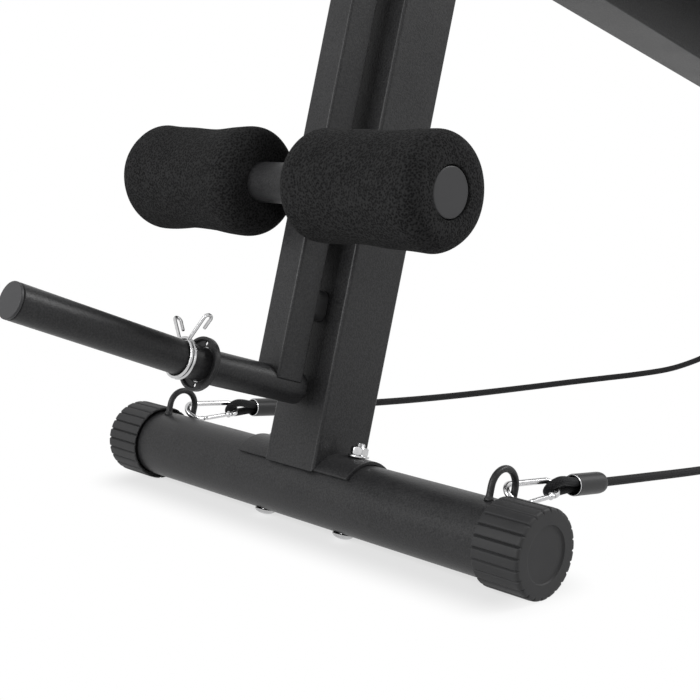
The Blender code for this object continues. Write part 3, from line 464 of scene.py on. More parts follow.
def sleeve_plastic():
    return moulded("sleeve_plastic", (0.016, 0.016, 0.017), (0.028, 0.028, 0.029), 0.34, 0.48, 1700,
                   0.00005, 0.3)


# %% [markdown]
# The rollers and grips are black cellular foam with a cut skin: open pores of about a millimetre.
# Their light and shade are painted into the colour: painted shade makes each pore dark inside, and a
# painted highlight makes the fibres on the pore rims pale. Cells give the pores and noise breaks them
# up.

# %% Foam
def foam():
    skin = Finish("roller_foam", specular_ior_level=0.12)
    pore = skin.cells(560)
    grain = skin.noise(820, 3)
    patch = skin.noise(60, 3)
    # High on the pore rims and low inside the pores; the colour uses it as a painted highlight on the
    # rims and painted shade in the pores.
    rim = skin.step(pore * 0.7 + grain * 0.6, 0.38, 0.86)
    skin.colour(rim * 0.75 + patch * 0.25, (0.0025, 0.0025, 0.0027), (0.030, 0.030, 0.0305))
    skin.roughness(0.98 - rim * 0.10)
    skin.bump(rim + grain * 0.5, 0.00045, 0.9)
    return skin.material


# %% [markdown]
# The back pad wears grained vinyl. A leather grain is a net of shallow creases round small plump
# islands: the distance to the nearest cell edge gives the islands, and noise makes them uneven. The
# colour is darker in the creases: painted shade.

# %% Vinyl
def vinyl():
    skin = Finish("pad_vinyl", specular_ior_level=0.25)
    islands_and_crease_shade = skin.step(skin.cells(620, "DISTANCE_TO_EDGE"), 0.0, 0.28)
    broad = skin.noise(14, 3)
    fine = skin.noise(900, 2)
    # Painted shade: the colour is darker in the creases between the islands.
    skin.colour(islands_and_crease_shade * 0.5 + broad * 0.5, (0.010, 0.010, 0.011), (0.026, 0.026, 0.027))
    skin.roughness(broad * 0.12 - islands_and_crease_shade * 0.08 + 0.42)
    skin.bump(islands_and_crease_shade + fine * 0.3, 0.00016, 0.7)
    return skin.material


# %% [markdown]
# The board under the pad is plywood with a dark stain. Its faces show long grain along the board,
# and its edge shows the plies, so one stretched noise runs along n and one stripe runs across s.

# %% Plywood
def plywood():
    wood = Finish("stained_plywood", specular_ior_level=0.3)
    inputs = {"Vector": wood.place(), "Rotation": (LEAN, 0, 0)}
    turned_back = wood.node("ShaderNodeVectorRotate", {"rotation_type": "EULER_XYZ"}, inputs)
    streak = wood.vector("MULTIPLY", turned_back, (160, 9, 160))
    grain = wood.node("ShaderNodeTexNoise", None, {"Vector": streak, "Scale": 1.0, "Detail": 5.0})
    up = wood.node("ShaderNodeSeparateXYZ", None, {0: turned_back}, 2)
    ply = wood.step((up * 1400).maths("SINE", up * 1400), -0.6, 0.6)
    wood.colour(grain * 0.7 + ply * 0.3, (0.014, 0.011, 0.009), (0.050, 0.040, 0.031))
    wood.roughness(grain * 0.2 + 0.55)
    wood.bump(grain + ply * 0.2, 0.00025, 0.5)
    return wood.material


# %% [markdown]
# The ropes have a braided sheath and the handles hang on woven webbing. Both patterns follow the
# piece, so they read its own UV map in metres: two families of strands that pass over and under
# each other. The colour is lighter on the crown of the top strand and darker where it meets the
# next: painted highlight and painted shade.

# %% Braid and webbing
def weave(name, along_count, across_count, slant, dark, light, depth):
    """Strands a and b cross; where their whole numbers sum to odd, a lies on top."""
    cloth = Finish(name, specular_ior_level=0.15)
    where = cloth.node("ShaderNodeTexCoord", output="UV")
    u = cloth.node("ShaderNodeSeparateXYZ", None, {0: where}, 0)
    v = cloth.node("ShaderNodeSeparateXYZ", None, {0: where}, 1)
    first = u * along_count + v * (across_count * slant)
    second = v * across_count - u * (along_count * slant)
    strands = [(line.maths("FLOOR", line), line.maths("FRACT", line)) for line in (first, second)]
    over = (strands[0][0] + strands[1][0]).maths("FLOORED_MODULO", strands[0][0] + strands[1][0], 2.0)
    humps = [(share * math.pi).maths("SINE", share * math.pi) for _, share in strands]
    height = over * humps[0] + (1 - over) * humps[1]
    fuzz = cloth.noise(2400, 2)
    # Painted highlight on each strand's crown and painted shade at its edges, where it meets the next
    # strand.
    cloth.colour(height * 0.7 + fuzz * 0.3, dark, light)
    cloth.roughness(0.82 - height * 0.22)
    cloth.bump(height + fuzz * 0.2, depth, 0.8)
    return cloth.material


def rope_braid():
    return weave("rope_braid", 430, 430, 1.0, (0.003, 0.003, 0.004), (0.024, 0.024, 0.025), 0.00022)


def webbing():
    return weave("strap_webbing", 620, 900, 0.0, (0.008, 0.008, 0.009), (0.040, 0.040, 0.042), 0.00018)


FINISHES = {"black_steel": powder_coat(), "zinc": zinc_plate(), "rubber": cap_rubber(),
            "plastic": plug_plastic(), "foam": foam(), "vinyl": vinyl(), "plywood": plywood(),
            "rope": rope_braid(), "webbing": webbing(), "sleeve": sleeve_plastic()}
for node, item in NODES.items():
    item.data.materials.clear()
    item.data.materials.append(FINISHES[SLOTS[node]])
print(f"{len(FINISHES)} finishes")


# %% [markdown]
# Every new skin goes through one function: it takes the part's name, gives the skin the finish of
# the part's slot, lets it ride on the part's body and hides the plain solid behind it. A few bright
# pieces, such as screws, are added without a solid.

# %% Dressing a part
def finished(name, mesh, finish, body):
    """A smooth piece that wears a finish and rides on a body."""
    piece = in_scene(name, mesh)
    mesh.materials.clear()
    mesh.materials.append(FINISHES[finish])
    mesh.shade_smooth()
    mesh.set_sharp_from_angle(angle=SMOOTH_BELOW)
    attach(piece, body)
    return piece


def dressed(node, *grids, mesh=None, finish=None):
    """The finished skin of one part."""
    slot = SLOTS[node]
    skin = finished(f"{node}_skin", mesh or mesh_from(grids), finish or slot, NODES[node]["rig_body"])
    skin.modifiers.new("even_shading", "WEIGHTED_NORMAL").keep_sharp = True
    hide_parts(node)
    return skin


def bright(name, body, *grids):
    """A small zinc-plated piece that has no solid of its own in the frame."""
    return finished(name, mesh_from(grids), "zinc", body)


def applied(holder):
    """The mesh of an object with its modifiers in it."""
    bpy.context.view_layer.update()
    shape = holder.evaluated_get(bpy.context.evaluated_depsgraph_get())
    return bpy.data.meshes.new_from_object(shape)


# %% [markdown]
# The pull ropes lie free: each leaves its sleeve behind a snap hook, comes down to the floor under
# its own weight, and runs back to a foam grip in front of the rear tube. The route is one smooth
# curve through a few chosen points, 0.79 m long, the free run that such benches have.

# %% Pull ropes
ROPE_R = 0.0037
ROPE_DIP = math.radians(8)
EYE_X = 0.195
HOOK_DIP = math.radians(5)
HOOK_TILT = math.radians(40)
HOOK_LENGTH = 0.0572
HOOK_REAR_R = 0.0072
GATE_HINGE = 0.0455
SLEEVE_AT = 0.023
SLEEVE_LENGTH = 0.040
LEAD_LENGTH = 0.0111
HOOK_AXES = dipped(HOOK_DIP, HOOK_TILT)
LEAD_AXES = dipped(ROPE_DIP)
ROPE_ROUTE = np.array([
    (0.1955, 0.200, 0.0412), (0.1970, 0.284, 0.0310), (0.1990, 0.370, 0.0222),
    (0.2000, 0.457, 0.0148), (0.1985, 0.545, 0.0088), (0.1905, 0.629, 0.0050),
    (0.1770, 0.687, 0.0041), (0.1620, 0.740, 0.0040), (0.1510, 0.800, 0.0045),
    (0.1460, 0.855, 0.0090), (0.1450, 0.900, 0.0150), (0.1450, 0.922, 0.0158)])
ROPE_PER_SPAN = 14
SIDES = (("right", 1), ("left", -1))


def smooth_route(knots, count):
    """A curve through every knot, count points in each span (a cubic on four knots in a row)."""
    knots = np.concatenate([[2 * knots[0] - knots[1]], knots, [2 * knots[-1] - knots[-2]]])
    before, here, there, after = (knots[i:len(knots) - 3 + i, None] for i in range(4))
    t = np.linspace(0, 1, count, endpoint=False)[None, :, None]
    bend, twist = 2 * before - 5 * here + 4 * there - after, 3 * here - before - 3 * there + after
    fine = here + ((there - before) * t + bend * t ** 2 + twist * t ** 3) / 2
    return np.concatenate([fine.reshape(-1, 3), knots[-2:-1]])


def on_hook(name, along, across=0.0):
    """A point in the plane of one snap hook, measured from the hook's front."""
    hinge = JOINTS[f"carabiner_gate_{name}_swing"]["pos_m"]
    return placed((across - HOOK_REAR_R, along - GATE_HINGE, 0), hinge, HOOK_AXES)


def lead_origin(name):
    """Middle of the rope's eye, inside the rear bow of the snap hook."""
    return on_hook(name, HOOK_LENGTH + 0.0009)


ropes, routes = {}, {}
for name, side in SIDES:
    reach = SLEEVE_LENGTH + SLEEVE_AT
    lead = placed([(0, reach + GAP, 0), (0, reach + LEAD_LENGTH, 0)], lead_origin(name), LEAD_AXES)
    chosen = ROPE_ROUTE * (side, 1, 1) + (0, FOOT[1], 0)
    routes[name] = smooth_route(np.concatenate([lead, chosen]), ROPE_PER_SPAN)
    length = np.linalg.norm(np.diff(routes[name], axis=0), axis=1).sum()
    ropes[name] = dressed(f"rope_{name}", closed(swept(routes[name], ROPE_R, (0, 0, 1), 24)))
    print(f"{name} rope {length:.3f} m")

# %% [markdown]
# A base tube is a plain round tube with a 2 mm wall. Each end wears a rubber cap with 24 ribs: wide
# lands with a narrow groove between them, a soft front edge and a shallow round dish in the face.
# The cap is a turned profile whose radius also depends on the angle, which is all a rib is.

# %% Base tubes and ribbed caps
BASE_R = 0.030
BASE_WALL = 0.002
BASE_WIDTH = 0.495
CAP_LENGTH = 0.042
CAP_RIBS = 24
CAP_COLUMNS_PER_RIB = 24
CAP_GROOVE_DEPTH = 0.0017
CAP_GROOVE_WIDTH = 0.085
# Each corner of the cap's section: radius, distance from the mouth, share of the groove's depth
CAP_SECTION = np.array([
    (0.0000, 0.0380, 0), (0.0306, 0.0380, 0), (0.0306, 0.0040, 0), (0.0325, 0.0040, 0),
    (0.0325, 0.0003, 0), (0.0329, 0.0000, 0), (0.0337, 0.0001, 0.6), (0.0341, 0.0006, 1),
    (0.0342, 0.0014, 1), (0.0342, 0.0385, 1), (0.0341, 0.0398, 1), (0.0337, 0.0409, 1),
    (0.0330, 0.0416, 1), (0.0321, 0.0419, 0.9), (0.0311, 0.0420, 0.5), (0.0300, 0.0420, 0),
    (0.0224, 0.0420, 0), (0.0219, 0.0419, 0), (0.0216, 0.0415, 0), (0.0214, 0.0410, 0),
    (0.0209, 0.0407, 0), (0.0190, 0.0406, 0), (0.0000, 0.0406, 0)])


def round_tube(radius, wall, half, edge=0.0004):
    """A tube about its middle: outer wall, end, inner wall, end."""
    corners = [(radius, -half), (radius, half), (radius - wall, half), (radius - wall, -half)]
    return turned(soft_line(corners, edge, 3, loop=True), 96)


def ribbed_cap():
    """Section radius less a narrow dip at every groove: exp(-(distance to the groove)^2)."""
    radius, along, share = CAP_SECTION.T[:, :, None]
    angle = circle(CAP_RIBS * CAP_COLUMNS_PER_RIB)
    phase = (angle * CAP_RIBS / math.tau) % 1 - 0.5
    groove = np.exp(-(phase / CAP_GROOVE_WIDTH) ** 2)
    return polar(radius - share * CAP_GROOVE_DEPTH * groove, angle, along)


def toward(axes, third):
    """The same axes with the chosen one as third, the one that shapes are turned about."""
    return np.roll(axes, -1 - third, axis=0)


ACROSS = toward(LEVEL_AXES, 0)
for end, centre in (("front", FOOT), ("rear", HEAD)):
    half = (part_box(f"{end}_base_tube")[1].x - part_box(f"{end}_base_tube")[0].x) / 2
    dressed(f"{end}_base_tube", ring(placed(round_tube(BASE_R, BASE_WALL, half), centre, ACROSS)))
    for name, side in SIDES:
        mouth = centre + (side * (BASE_WIDTH / 2 - CAP_LENGTH), 0, 0)
        dressed(f"{end}_cap_{name}", closed(placed(ribbed_cap(), mouth, ACROSS * (side, 1, 1))))
print("base tubes and four caps")

# %% [markdown]
# A curved saddle plate spreads the post's load over the tube. Its section is a band of an arc whose
# thickness fades to a round nose at both ends. Two carriage bolts hold it: a smooth dome below, a
# washer, a nut with chamfered corners and a short stretch of thread above.

# %% Saddles and bolts
SADDLE_THICK = 0.003
SADDLE_HALF = 0.067
SADDLE_NOSE = 0.0011
BOLT_X = 0.0485
BOLT_R = 0.004
BOLT_HEAD_R = 0.009
BOLT_DOME = 0.0042
WASHER_THICK = 0.0016
NUT_FLATS = 0.013
NUT_HEIGHT = 0.0068
THREAD_PITCH = 0.00125
THREAD_DEPTH = 0.00035
HEX_CORNER = math.pi / 6


def saddle_band():
    """Both faces of the band, with half the thickness falling as a quarter circle at its ends."""
    radius = BASE_R + GAP + SADDLE_THICK / 2
    turn = np.radians(90 + 60 * np.sin(np.linspace(-math.pi / 2, math.pi / 2, 65)))
    from_end = np.clip((math.radians(60) - np.abs(turn - math.pi / 2)) * radius, 0, SADDLE_NOSE)
    half = SADDLE_THICK / 2 - SADDLE_NOSE + np.sqrt(SADDLE_NOSE ** 2 - (SADDLE_NOSE - from_end) ** 2)
    ray = np.stack([np.cos(turn), np.sin(turn)], -1)
    return np.concatenate([ray * (radius + half)[:, None], (ray * (radius - half)[:, None])[::-1]])


def hexagon(flats, low, high, columns=72):
    """A nut: the smaller of a hexagon's radius and a cone that trims its corners at both ends."""
    angle = circle(columns)
    hexed = flats / 2 / np.cos((angle + HEX_CORNER) % (2 * HEX_CORNER) - HEX_CORNER)
    trim = flats * 0.09
    height = np.array([low, low, low + trim / 2, low + trim, high - trim, high - trim / 2, high, high])
    cone = flats / 2 * np.array([0, 0.98, 1.07, 1.16, 1.16, 1.07, 0.98, 0])
    return polar(np.minimum(hexed, cone[:, None]), angle, height[:, None])


def thread(radius, low, high, columns=32):
    """A rod whose radius rises and falls along a helix, flat at its two ends."""
    height = np.linspace(low, high, int((high - low) / THREAD_PITCH * 8) + 2)[:, None]
    angle = circle(columns)
    wave = np.abs(((height / THREAD_PITCH - angle / math.tau) % 1) * 2 - 1)
    taper = np.clip((high - height) / 0.0008, 0.4, 1)
    return polar((radius - THREAD_DEPTH * wave) * taper ** 0.3, angle, height)


def carriage_bolt():
    """Dome, shank, washer, nut and thread about the base tube's axis, upwards along s."""
    below, seat = -BASE_R - GAP, BASE_R + SADDLE_THICK + 2 * GAP
    washer = seat + WASHER_THICK
    nut_top = washer + NUT_HEIGHT
    turn = np.linspace(0, math.pi / 2, 12)
    dome = np.stack([BOLT_HEAD_R * np.sin(turn), below - BOLT_DOME * np.cos(turn)], -1)
    neck = [(BOLT_HEAD_R - 0.0005, below + 0.0004), (BOLT_R, below + 0.0004), (BOLT_R, 0)]
    disc = soft_line([(0, seat), (BOLT_HEAD_R, seat), (BOLT_HEAD_R, washer), (0, washer)], 0.0004, 3)
    return [closed(turned(np.concatenate([dome, neck]), 48)), closed(turned(disc, 48)),
            closed(hexagon(NUT_FLATS, washer, nut_top)),
            closed(thread(BOLT_R, nut_top - 0.001, nut_top + 0.003))]


def each_placed(grids, origin, axes):
    """Several grids carried to the same frame."""
    return [(placed(grid, origin, axes), around, along) for grid, around, along in grids]


LEAN_ACROSS = toward(LEAN_AXES, 0)
for end, centre in (("front", FOOT), ("rear", HEAD)):
    plate = pushed(saddle_band(), -SADDLE_HALF, SADDLE_HALF, 0.0006)
    dressed(f"{end}_saddle", closed(placed(plate, centre, LEAN_ACROSS)))
    for name, side in SIDES:
        at = centre + (side * BOLT_X, 0, 0)
        dressed(f"{end}_bolt_{name}", *each_placed(carriage_bolt(), at, LEAN_AXES))
print("saddles and four bolts")

# %% [markdown]
# The posts, the beam and the lever are square tubes. The foot of a post is cut to the round of the
# saddle, so its lower rim isn't flat: its height is a function of n. The lever is cut the same way
# to the plate bar, across x.

# %% Square tubes
TUBE_SIDE = 0.060
TUBE_CORNER = 0.003
TUBE_WALL = 0.002
PLUG_THICK = 0.003
POST_TOP = 0.690
BEAM_S = 0.530
BEAM_START = TUBE_SIDE / 2 + GAP
BEAM_END = 1.090
COPE_R = BASE_R + SADDLE_THICK + 2 * GAP
LEVER_SIDE = 0.028
LEVER_CORNER = 0.0024
LEVER_TOP = 0.019
BAR_R = 0.0137


def square_tube(side, corner, low, high, edge=0.0005):
    """Outer wall up, rim, inner wall down; low is a number or a function of the outline's points."""
    outer = rounded_box(side, side, corner)
    inner = rounded_box(side - 2 * TUBE_WALL, side - 2 * TUBE_WALL, corner - TUBE_WALL)
    foot = low if callable(low) else lambda points: np.full(len(points), low)
    slim = outer - edge * outward(outer)
    levels = [(outer, foot(outer)), (outer, np.full(len(outer), high - edge)),
              (slim, np.full(len(outer), high)), (inner, np.full(len(outer), high)),
              (inner, foot(outer))]
    return np.stack([np.concatenate([flat, height[:, None]], 1) for flat, height in levels])


def saddle_cope(points):
    """Height of the saddle's top under each point of a post's outline."""
    return np.sqrt(COPE_R ** 2 - points[:, 1] ** 2)


lever_pivot = np.array(JOINTS["leg_lever_swing"]["pos_m"])
LEVER_N = -0.059
PIVOT_S = 0.578
BAR_POINTS = np.array([(-0.0380, 0.0792), (-0.1332, 0.0831), (-0.3112, 0.1031)])
BAR_RUN = (BAR_POINTS[1] - BAR_POINTS[0]) / np.linalg.norm(BAR_POINTS[1] - BAR_POINTS[0])


def bar_cope(points):
    """Height of the plate bar's top under each point of the lever's outline, from the pivot."""
    axis = BAR_POINTS[0, 1] + (points[:, 1] + LEVER_N - BAR_POINTS[0, 0]) * BAR_RUN[1] / BAR_RUN[0]
    rise = np.sqrt(np.maximum((BAR_R + GAP) ** 2 - points[:, 0] ** 2, 0.005 ** 2))
    return axis + rise - PIVOT_S


rear_foot = placed(HEAD - FOOT, (0, 0, 0), LEAN_AXES.T)[2]
rear_top = BEAM_S - TUBE_SIDE / 2 - GAP - rear_foot
front_post = square_tube(TUBE_SIDE, TUBE_CORNER, saddle_cope, POST_TOP)
dressed("front_post", ring(placed(front_post, FOOT, LEAN_AXES)))
rear_post = square_tube(TUBE_SIDE, TUBE_CORNER, saddle_cope, rear_top)
dressed("rear_post", ring(placed(rear_post, HEAD, LEAN_AXES)))
beam = square_tube(TUBE_SIDE, TUBE_CORNER, BEAM_START, BEAM_END)
dressed("main_beam", ring(placed(beam, leaning(0, 0, BEAM_S), toward(LEAN_AXES, 1))))
lever = square_tube(LEVER_SIDE, LEVER_CORNER, bar_cope, LEVER_TOP)
dressed("lever_tube", ring(placed(lever, lever_pivot, LEAN_AXES)))
plug = pushed(rounded_box(TUBE_SIDE, TUBE_SIDE, TUBE_CORNER), GAP, GAP + PLUG_THICK, 0.0012)
dressed("post_top_plug", closed(placed(plug, leaning(0, 0, POST_TOP), LEAN_AXES)))
dressed("beam_end_plug", closed(placed(plug, leaning(0, BEAM_END, BEAM_S), toward(LEAN_AXES, 1))))
print("posts, beam, lever and plugs")

# %% [markdown]
# The plate bar is a round tube, bent once, that carries weight plates. A flange with a raised rim
# stops them, and a sprung wire collar holds them from outside. The collar is two turns of wire with
# a splayed leg on each end, curled over so that fingers can squeeze it.

# %% Plate bar, flange and spring collar
BAR_BEND_SOFT = 0.014
FLANGE_AT = 0.0072
FLANGE_R = 0.0215
FLANGE_THICK = 0.0045
FLANGE_WEB = 0.0015
FLANGE_RIM = 0.0022
FLANGE_HOLE_AT = 0.0167
FLANGE_HOLE_R = 0.0017
COLLAR_AT = 0.0168
COLLAR_WIRE_R = 0.0014
COLLAR_STEP = 0.0032
COLLAR_OPEN = math.radians(33)
COLLAR_LEG = np.array([0.0125, 0.0178, 0])
COLLAR_TURN = math.radians(6.6)
COLLAR_LOOP = 0.0032
COLLAR_TAIL = 0.0075


def bar_frame():
    """Origin at the bar's bend, third axis out along the bar."""
    run = BAR_POINTS[2] - BAR_POINTS[1]
    run = run / np.linalg.norm(run)
    out = run[0] * LEAN_AXES[1] + run[1] * LEAN_AXES[2]
    return leaning(0, *BAR_POINTS[1]), np.array([LEAN_AXES[0], np.cross(out, LEAN_AXES[0]), out])


def collar_leg(base, side):
    """Out and up from the coil's end, then a curl of 200 degrees back along the bar."""
    out = COLLAR_LEG * (side, 1, 1)
    along, outer = out / np.linalg.norm(out), LEVEL_AXES[2]
    straight = base + out * np.linspace(0.08, 1, 8)[:-1, None]
    turn = np.radians(np.linspace(0, 200, 15))[:, None]
    curl = base + out + COLLAR_LOOP * (along * np.sin(turn) - outer * (1 - np.cos(turn)))
    tail = curl[-1] - along * COLLAR_TAIL * np.linspace(0, 1, 4)[1:, None]
    turn = np.concatenate([np.zeros((7, 1)), turn, turn[[-1] * 3]])
    up = outer * np.cos(turn) + along * np.sin(turn)
    return np.stack([np.concatenate([straight, curl, tail]), up])


def collar_path():
    """A helix round the bar, less an opening at the top, with a leg at each end; points and ups."""
    start = math.pi / 2 + COLLAR_OPEN
    share = np.linspace(0, 1, 97)
    turn = start + (2 * math.tau - 2 * COLLAR_OPEN) * share
    radius = BAR_R + COLLAR_WIRE_R + GAP
    coil = np.stack([radius * np.cos(turn), radius * np.sin(turn), (2 * share - 1) * COLLAR_STEP], -1)
    turns = np.stack([coil, np.broadcast_to(LEVEL_AXES[2], coil.shape)])
    return np.concatenate([collar_leg(coil[0], -1)[:, ::-1], turns, collar_leg(coil[-1], 1)], 1)


bar_origin, bar_axes = bar_frame()
bar_line = soft_line(np.insert(BAR_POINTS, 0, 0, axis=1), BAR_BEND_SOFT, 10)
bar_skin = swept(placed(bar_line, FOOT, LEAN_AXES), BAR_R, (1, 0, 0), 72, 0.08)
dressed("plate_bar", closed(bar_skin))
bar_length = np.linalg.norm(BAR_POINTS[2] - BAR_POINTS[1])
disc = soft_line([(0, GAP), (BAR_R, GAP), (BAR_R, 0.0028), (0, 0.0028)], 0.0007, 4)
dressed("plate_bar_plug", closed(placed(turned(disc), bar_origin + bar_axes[2] * bar_length, bar_axes)))
rim = [(BAR_R + GAP, 0), (FLANGE_R, 0), (FLANGE_R, FLANGE_THICK),
       (FLANGE_R - FLANGE_RIM, FLANGE_THICK), (FLANGE_R - FLANGE_RIM - 0.0008, FLANGE_WEB),
       (BAR_R + GAP, FLANGE_WEB)]
flange_at = bar_origin + bar_axes[2] * FLANGE_AT
flange = dressed("plate_flange",
                 ring(placed(turned(soft_line(rim, 0.0006, 4, loop=True), 96), flange_at, bar_axes)))
collar_at = flange_at + bar_axes[2] * (FLANGE_THICK + COLLAR_AT)
collar_line, collar_up = collar_path()
turned_by = np.array([[math.cos(COLLAR_TURN), math.sin(COLLAR_TURN), 0],
                      [-math.sin(COLLAR_TURN), math.cos(COLLAR_TURN), 0], [0, 0, 1]])
collar_axes = turned_by @ bar_axes
dressed("spring_collar", closed(swept(placed(collar_line, collar_at, collar_axes), COLLAR_WIRE_R,
                                      collar_up @ collar_axes, 14, 0.5)))
drill = [closed(placed(turned([(FLANGE_HOLE_R, -0.01), (FLANGE_HOLE_R, 0.02)], 20),
                       flange_at + side * FLANGE_HOLE_AT * bar_axes[1], bar_axes)) for side in (1, -1)]
cutter = in_scene("flange_drill", mesh_from(drill))
flange.modifiers.new("holes", "BOOLEAN").object = cutter
flange.data = applied(flange)
flange.modifiers.clear()
bpy.data.objects.remove(cutter)
print(f"plate bar {bar_length:.3f} m from its bend")

# %% [markdown]
# A foam roller is turned from a dog-bone profile: round ends, a shallow waist. At its outer end the
# foam stands proud round the cap, which lies in a shallow round pocket. Cut foam is never quite true,
# so the radius also wanders by half a millimetre, slowly, as a sum of a few waves.

# %% Foam rollers, axles and caps
AXLE_R = 0.0165
ROLLER_LENGTH = 0.137
ROLLER_R = 0.0450
ROLLER_WAIST = 0.0426
ROLLER_FACE_R = 0.028
ROLLER_ROUND = 0.017
ROLLER_POWER = 2.2
ROLLER_WANDER = 0.0004
ROLLER_PROUD = 0.0050
ROLLER_CAP_R = 0.019


def roller(phase):
    """Face radius plus the waist's swell, which rises from each end as a superellipse."""
    share = (1 - np.cos(np.linspace(0, math.pi, 72))) / 2
    length = ROLLER_LENGTH + ROLLER_PROUD
    height = length * share
    near = np.minimum(height, length - height) / ROLLER_ROUND
    swell = (1 - np.maximum(0, 1 - near) ** ROLLER_POWER) ** (1 / ROLLER_POWER)
    waist = ROLLER_WAIST + (ROLLER_R - ROLLER_WAIST) * np.cos(math.pi * share) ** 2
    radius = ROLLER_FACE_R + (waist - ROLLER_FACE_R) * swell
    grid = turned(np.stack([radius, height], -1), 128)
    angle, along = circle(128)[None], share[:, None] * math.tau
    waves = (np.sin(2 * angle + along + phase) + 0.7 * np.sin(3 * angle - 2 * along + 2 * phase)
             + 0.5 * np.sin(5 * angle + 3 * along - phase))
    grid[:, :, :2] *= 1 + (ROLLER_WANDER * swell[:, None] * waves / radius[:, None])[:, :, None]
    pocket, floor, bore = ROLLER_CAP_R + 0.0008, ROLLER_LENGTH - 2 * GAP, AXLE_R + GAP
    dish = [(ROLLER_CAP_R + 0.0060, length), (pocket, length), (pocket, floor), (bore, floor), (bore, 0)]
    return np.concatenate([grid, turned(soft_line(dish, 0.0012, 4), 128)])


def roller_cap():
    """A mushroom cap: flat disc with a soft rim, and a stub inside the axle."""
    stub = AXLE_R - 0.0023
    corners = [(0, 0.0040), (ROLLER_CAP_R, 0.0040), (ROLLER_CAP_R, GAP), (stub, GAP),
               (stub, -0.012), (0, -0.012)]
    return turned(soft_line(corners, 0.0014, 5), 72)


for pair, (name, roller_in) in enumerate((("ankle", 0.031), ("knee", 0.033))):
    axis = np.array(JOINTS[f"{name}_roller_right_spin"]["pos_m"]) * (0, 1, 1)
    tube = round_tube(AXLE_R, 0.002, roller_in + ROLLER_LENGTH - GAP)
    dressed(f"{name}_axle", ring(placed(tube, axis, ACROSS)))
    for side_name, side in SIDES:
        facing = ACROSS * (side, 1, 1)
        skin = dressed(f"{name}_roller_{side_name}",
                       ring(placed(roller(1.7 * pair + side), axis + (side * roller_in, 0, 0), facing)))
        at_end = axis + (side * (roller_in + ROLLER_LENGTH), 0, 0)
        dressed(f"{name}_cap_{side_name}", closed(placed(roller_cap(), at_end, facing)))
print("four rollers on two axles")

# %% [markdown]
# The ropes are hooked to two wire eyes welded on the tube. A snap hook is one bent wire with a
# sprung gate that closes on its nose. The rope goes round the hook's rear bow as an eye, and a
# black sleeve with a bright crimp ring in its mouth holds both strands.

# %% Eyes, snap hooks and sleeves
EYE_WIRE_R = 0.00275
EYE_N = 0.005
EYE_HALF = 0.0145
EYE_TOP = 0.0528
EYE_FLARE = 0.0012
HOOK_WIRE_R = 0.0025
HOOK_FRONT_R = 0.0095
HOOK_NOSE = 0.0125
GATE_R = 0.0021
ROPE_EYE_R = 0.0074
STRAND_OFFSET = 0.0040
SLEEVE_R = 0.0089
SLEEVE_POCKET_R = 0.0080
SLEEVE_TAIL_R = 0.0050
CRIMP_R = 0.0086


def eye_wire():
    """Two legs and a half circle; the legs stand on the tube and flare there as a weld does."""
    arch = arc((EYE_N, EYE_TOP - EYE_HALF), EYE_HALF, 0, 180, 40)
    legs = []
    for n in (EYE_N + EYE_HALF, EYE_N - EYE_HALF):
        foot = math.sqrt((BASE_R - 0.0005) ** 2 - n ** 2)
        legs.append(np.stack([np.full(10, n), np.linspace(foot, EYE_TOP - EYE_HALF, 11)[:-1]], -1))
    line = np.concatenate([legs[0], arch, legs[1][::-1]])
    clear = np.linalg.norm(line, axis=1) - BASE_R
    return np.insert(line, 0, 0, axis=1), EYE_WIRE_R + EYE_FLARE * np.exp(-(clear / 0.0018) ** 2)


def hook_wire():
    """Nose, front bow, spine, rear bow and tail of a snap hook, in its own plane."""
    rear = HOOK_LENGTH - HOOK_REAR_R
    down = np.linspace(HOOK_NOSE - GAP, HOOK_FRONT_R, 7)[:-1]
    nose = np.stack([np.full(6, HOOK_FRONT_R), down], -1)
    front = arc((0, HOOK_FRONT_R), HOOK_FRONT_R, 0, -180, 36)
    back = arc((0, rear), HOOK_REAR_R, 180, 0, 36)
    tail = [(HOOK_REAR_R, rear - 0.0008), (HOOK_REAR_R, GATE_HINGE + 0.0030)]
    return np.insert(np.concatenate([nose, front, back, tail]), 2, 0, axis=1)


def gate():
    """Gate wire with a slot near its tip, and a knuckle with two rivet heads."""
    tip = np.array([HOOK_FRONT_R - HOOK_REAR_R, HOOK_NOSE + GAP - GATE_HINGE, 0])
    share = np.linspace(0, 1, 40)
    notch = np.exp(-((share - 0.90) / 0.022) ** 2) + 0.8 * np.exp(-((share - 0.13) / 0.03) ** 2)
    bar = swept(share[:, None] * tip, GATE_R - 0.0005 * notch, (0, 0, 1), 18, 0.35)
    rivet = [(0, -0.0028), (0.0020, -0.0028), (0.0027, -0.0020), (0.0027, 0.0020), (0.0020, 0.0028),
             (0, 0.0028)]
    return [closed(bar), closed(turned(soft_line(rivet, 0.0005, 3), 28))]


def rope_eye():
    """Round bow, then both strands draw together and run into the sleeve, across x."""
    share = np.linspace(0, 1, 14)[1:]
    ease = share ** 2 * (3 - 2 * share)
    upper = np.stack([SLEEVE_AT * share, ROPE_EYE_R + (STRAND_OFFSET - ROPE_EYE_R) * ease], -1)
    upper = np.concatenate([upper, [(SLEEVE_AT + 0.009, STRAND_OFFSET)]])
    bow = arc((0, 0), ROPE_EYE_R, 90, 270, 28)
    return np.insert(np.concatenate([upper[::-1], bow, upper * (1, -1)]), 0, 0, axis=1)


def sleeve():
    """Shrunk sleeve: pocket at the mouth, straight wall, round shoulder down to the rope."""
    corners = [(0, 0.010), (SLEEVE_POCKET_R, 0.010), (SLEEVE_POCKET_R, 0), (SLEEVE_R, 0),
               (SLEEVE_R, SLEEVE_LENGTH - 0.007), (SLEEVE_R - 0.0006, SLEEVE_LENGTH - 0.003),
               (SLEEVE_TAIL_R, SLEEVE_LENGTH), (0, SLEEVE_LENGTH)]
    return turned(soft_line(corners, 0.0016, 5), 48)


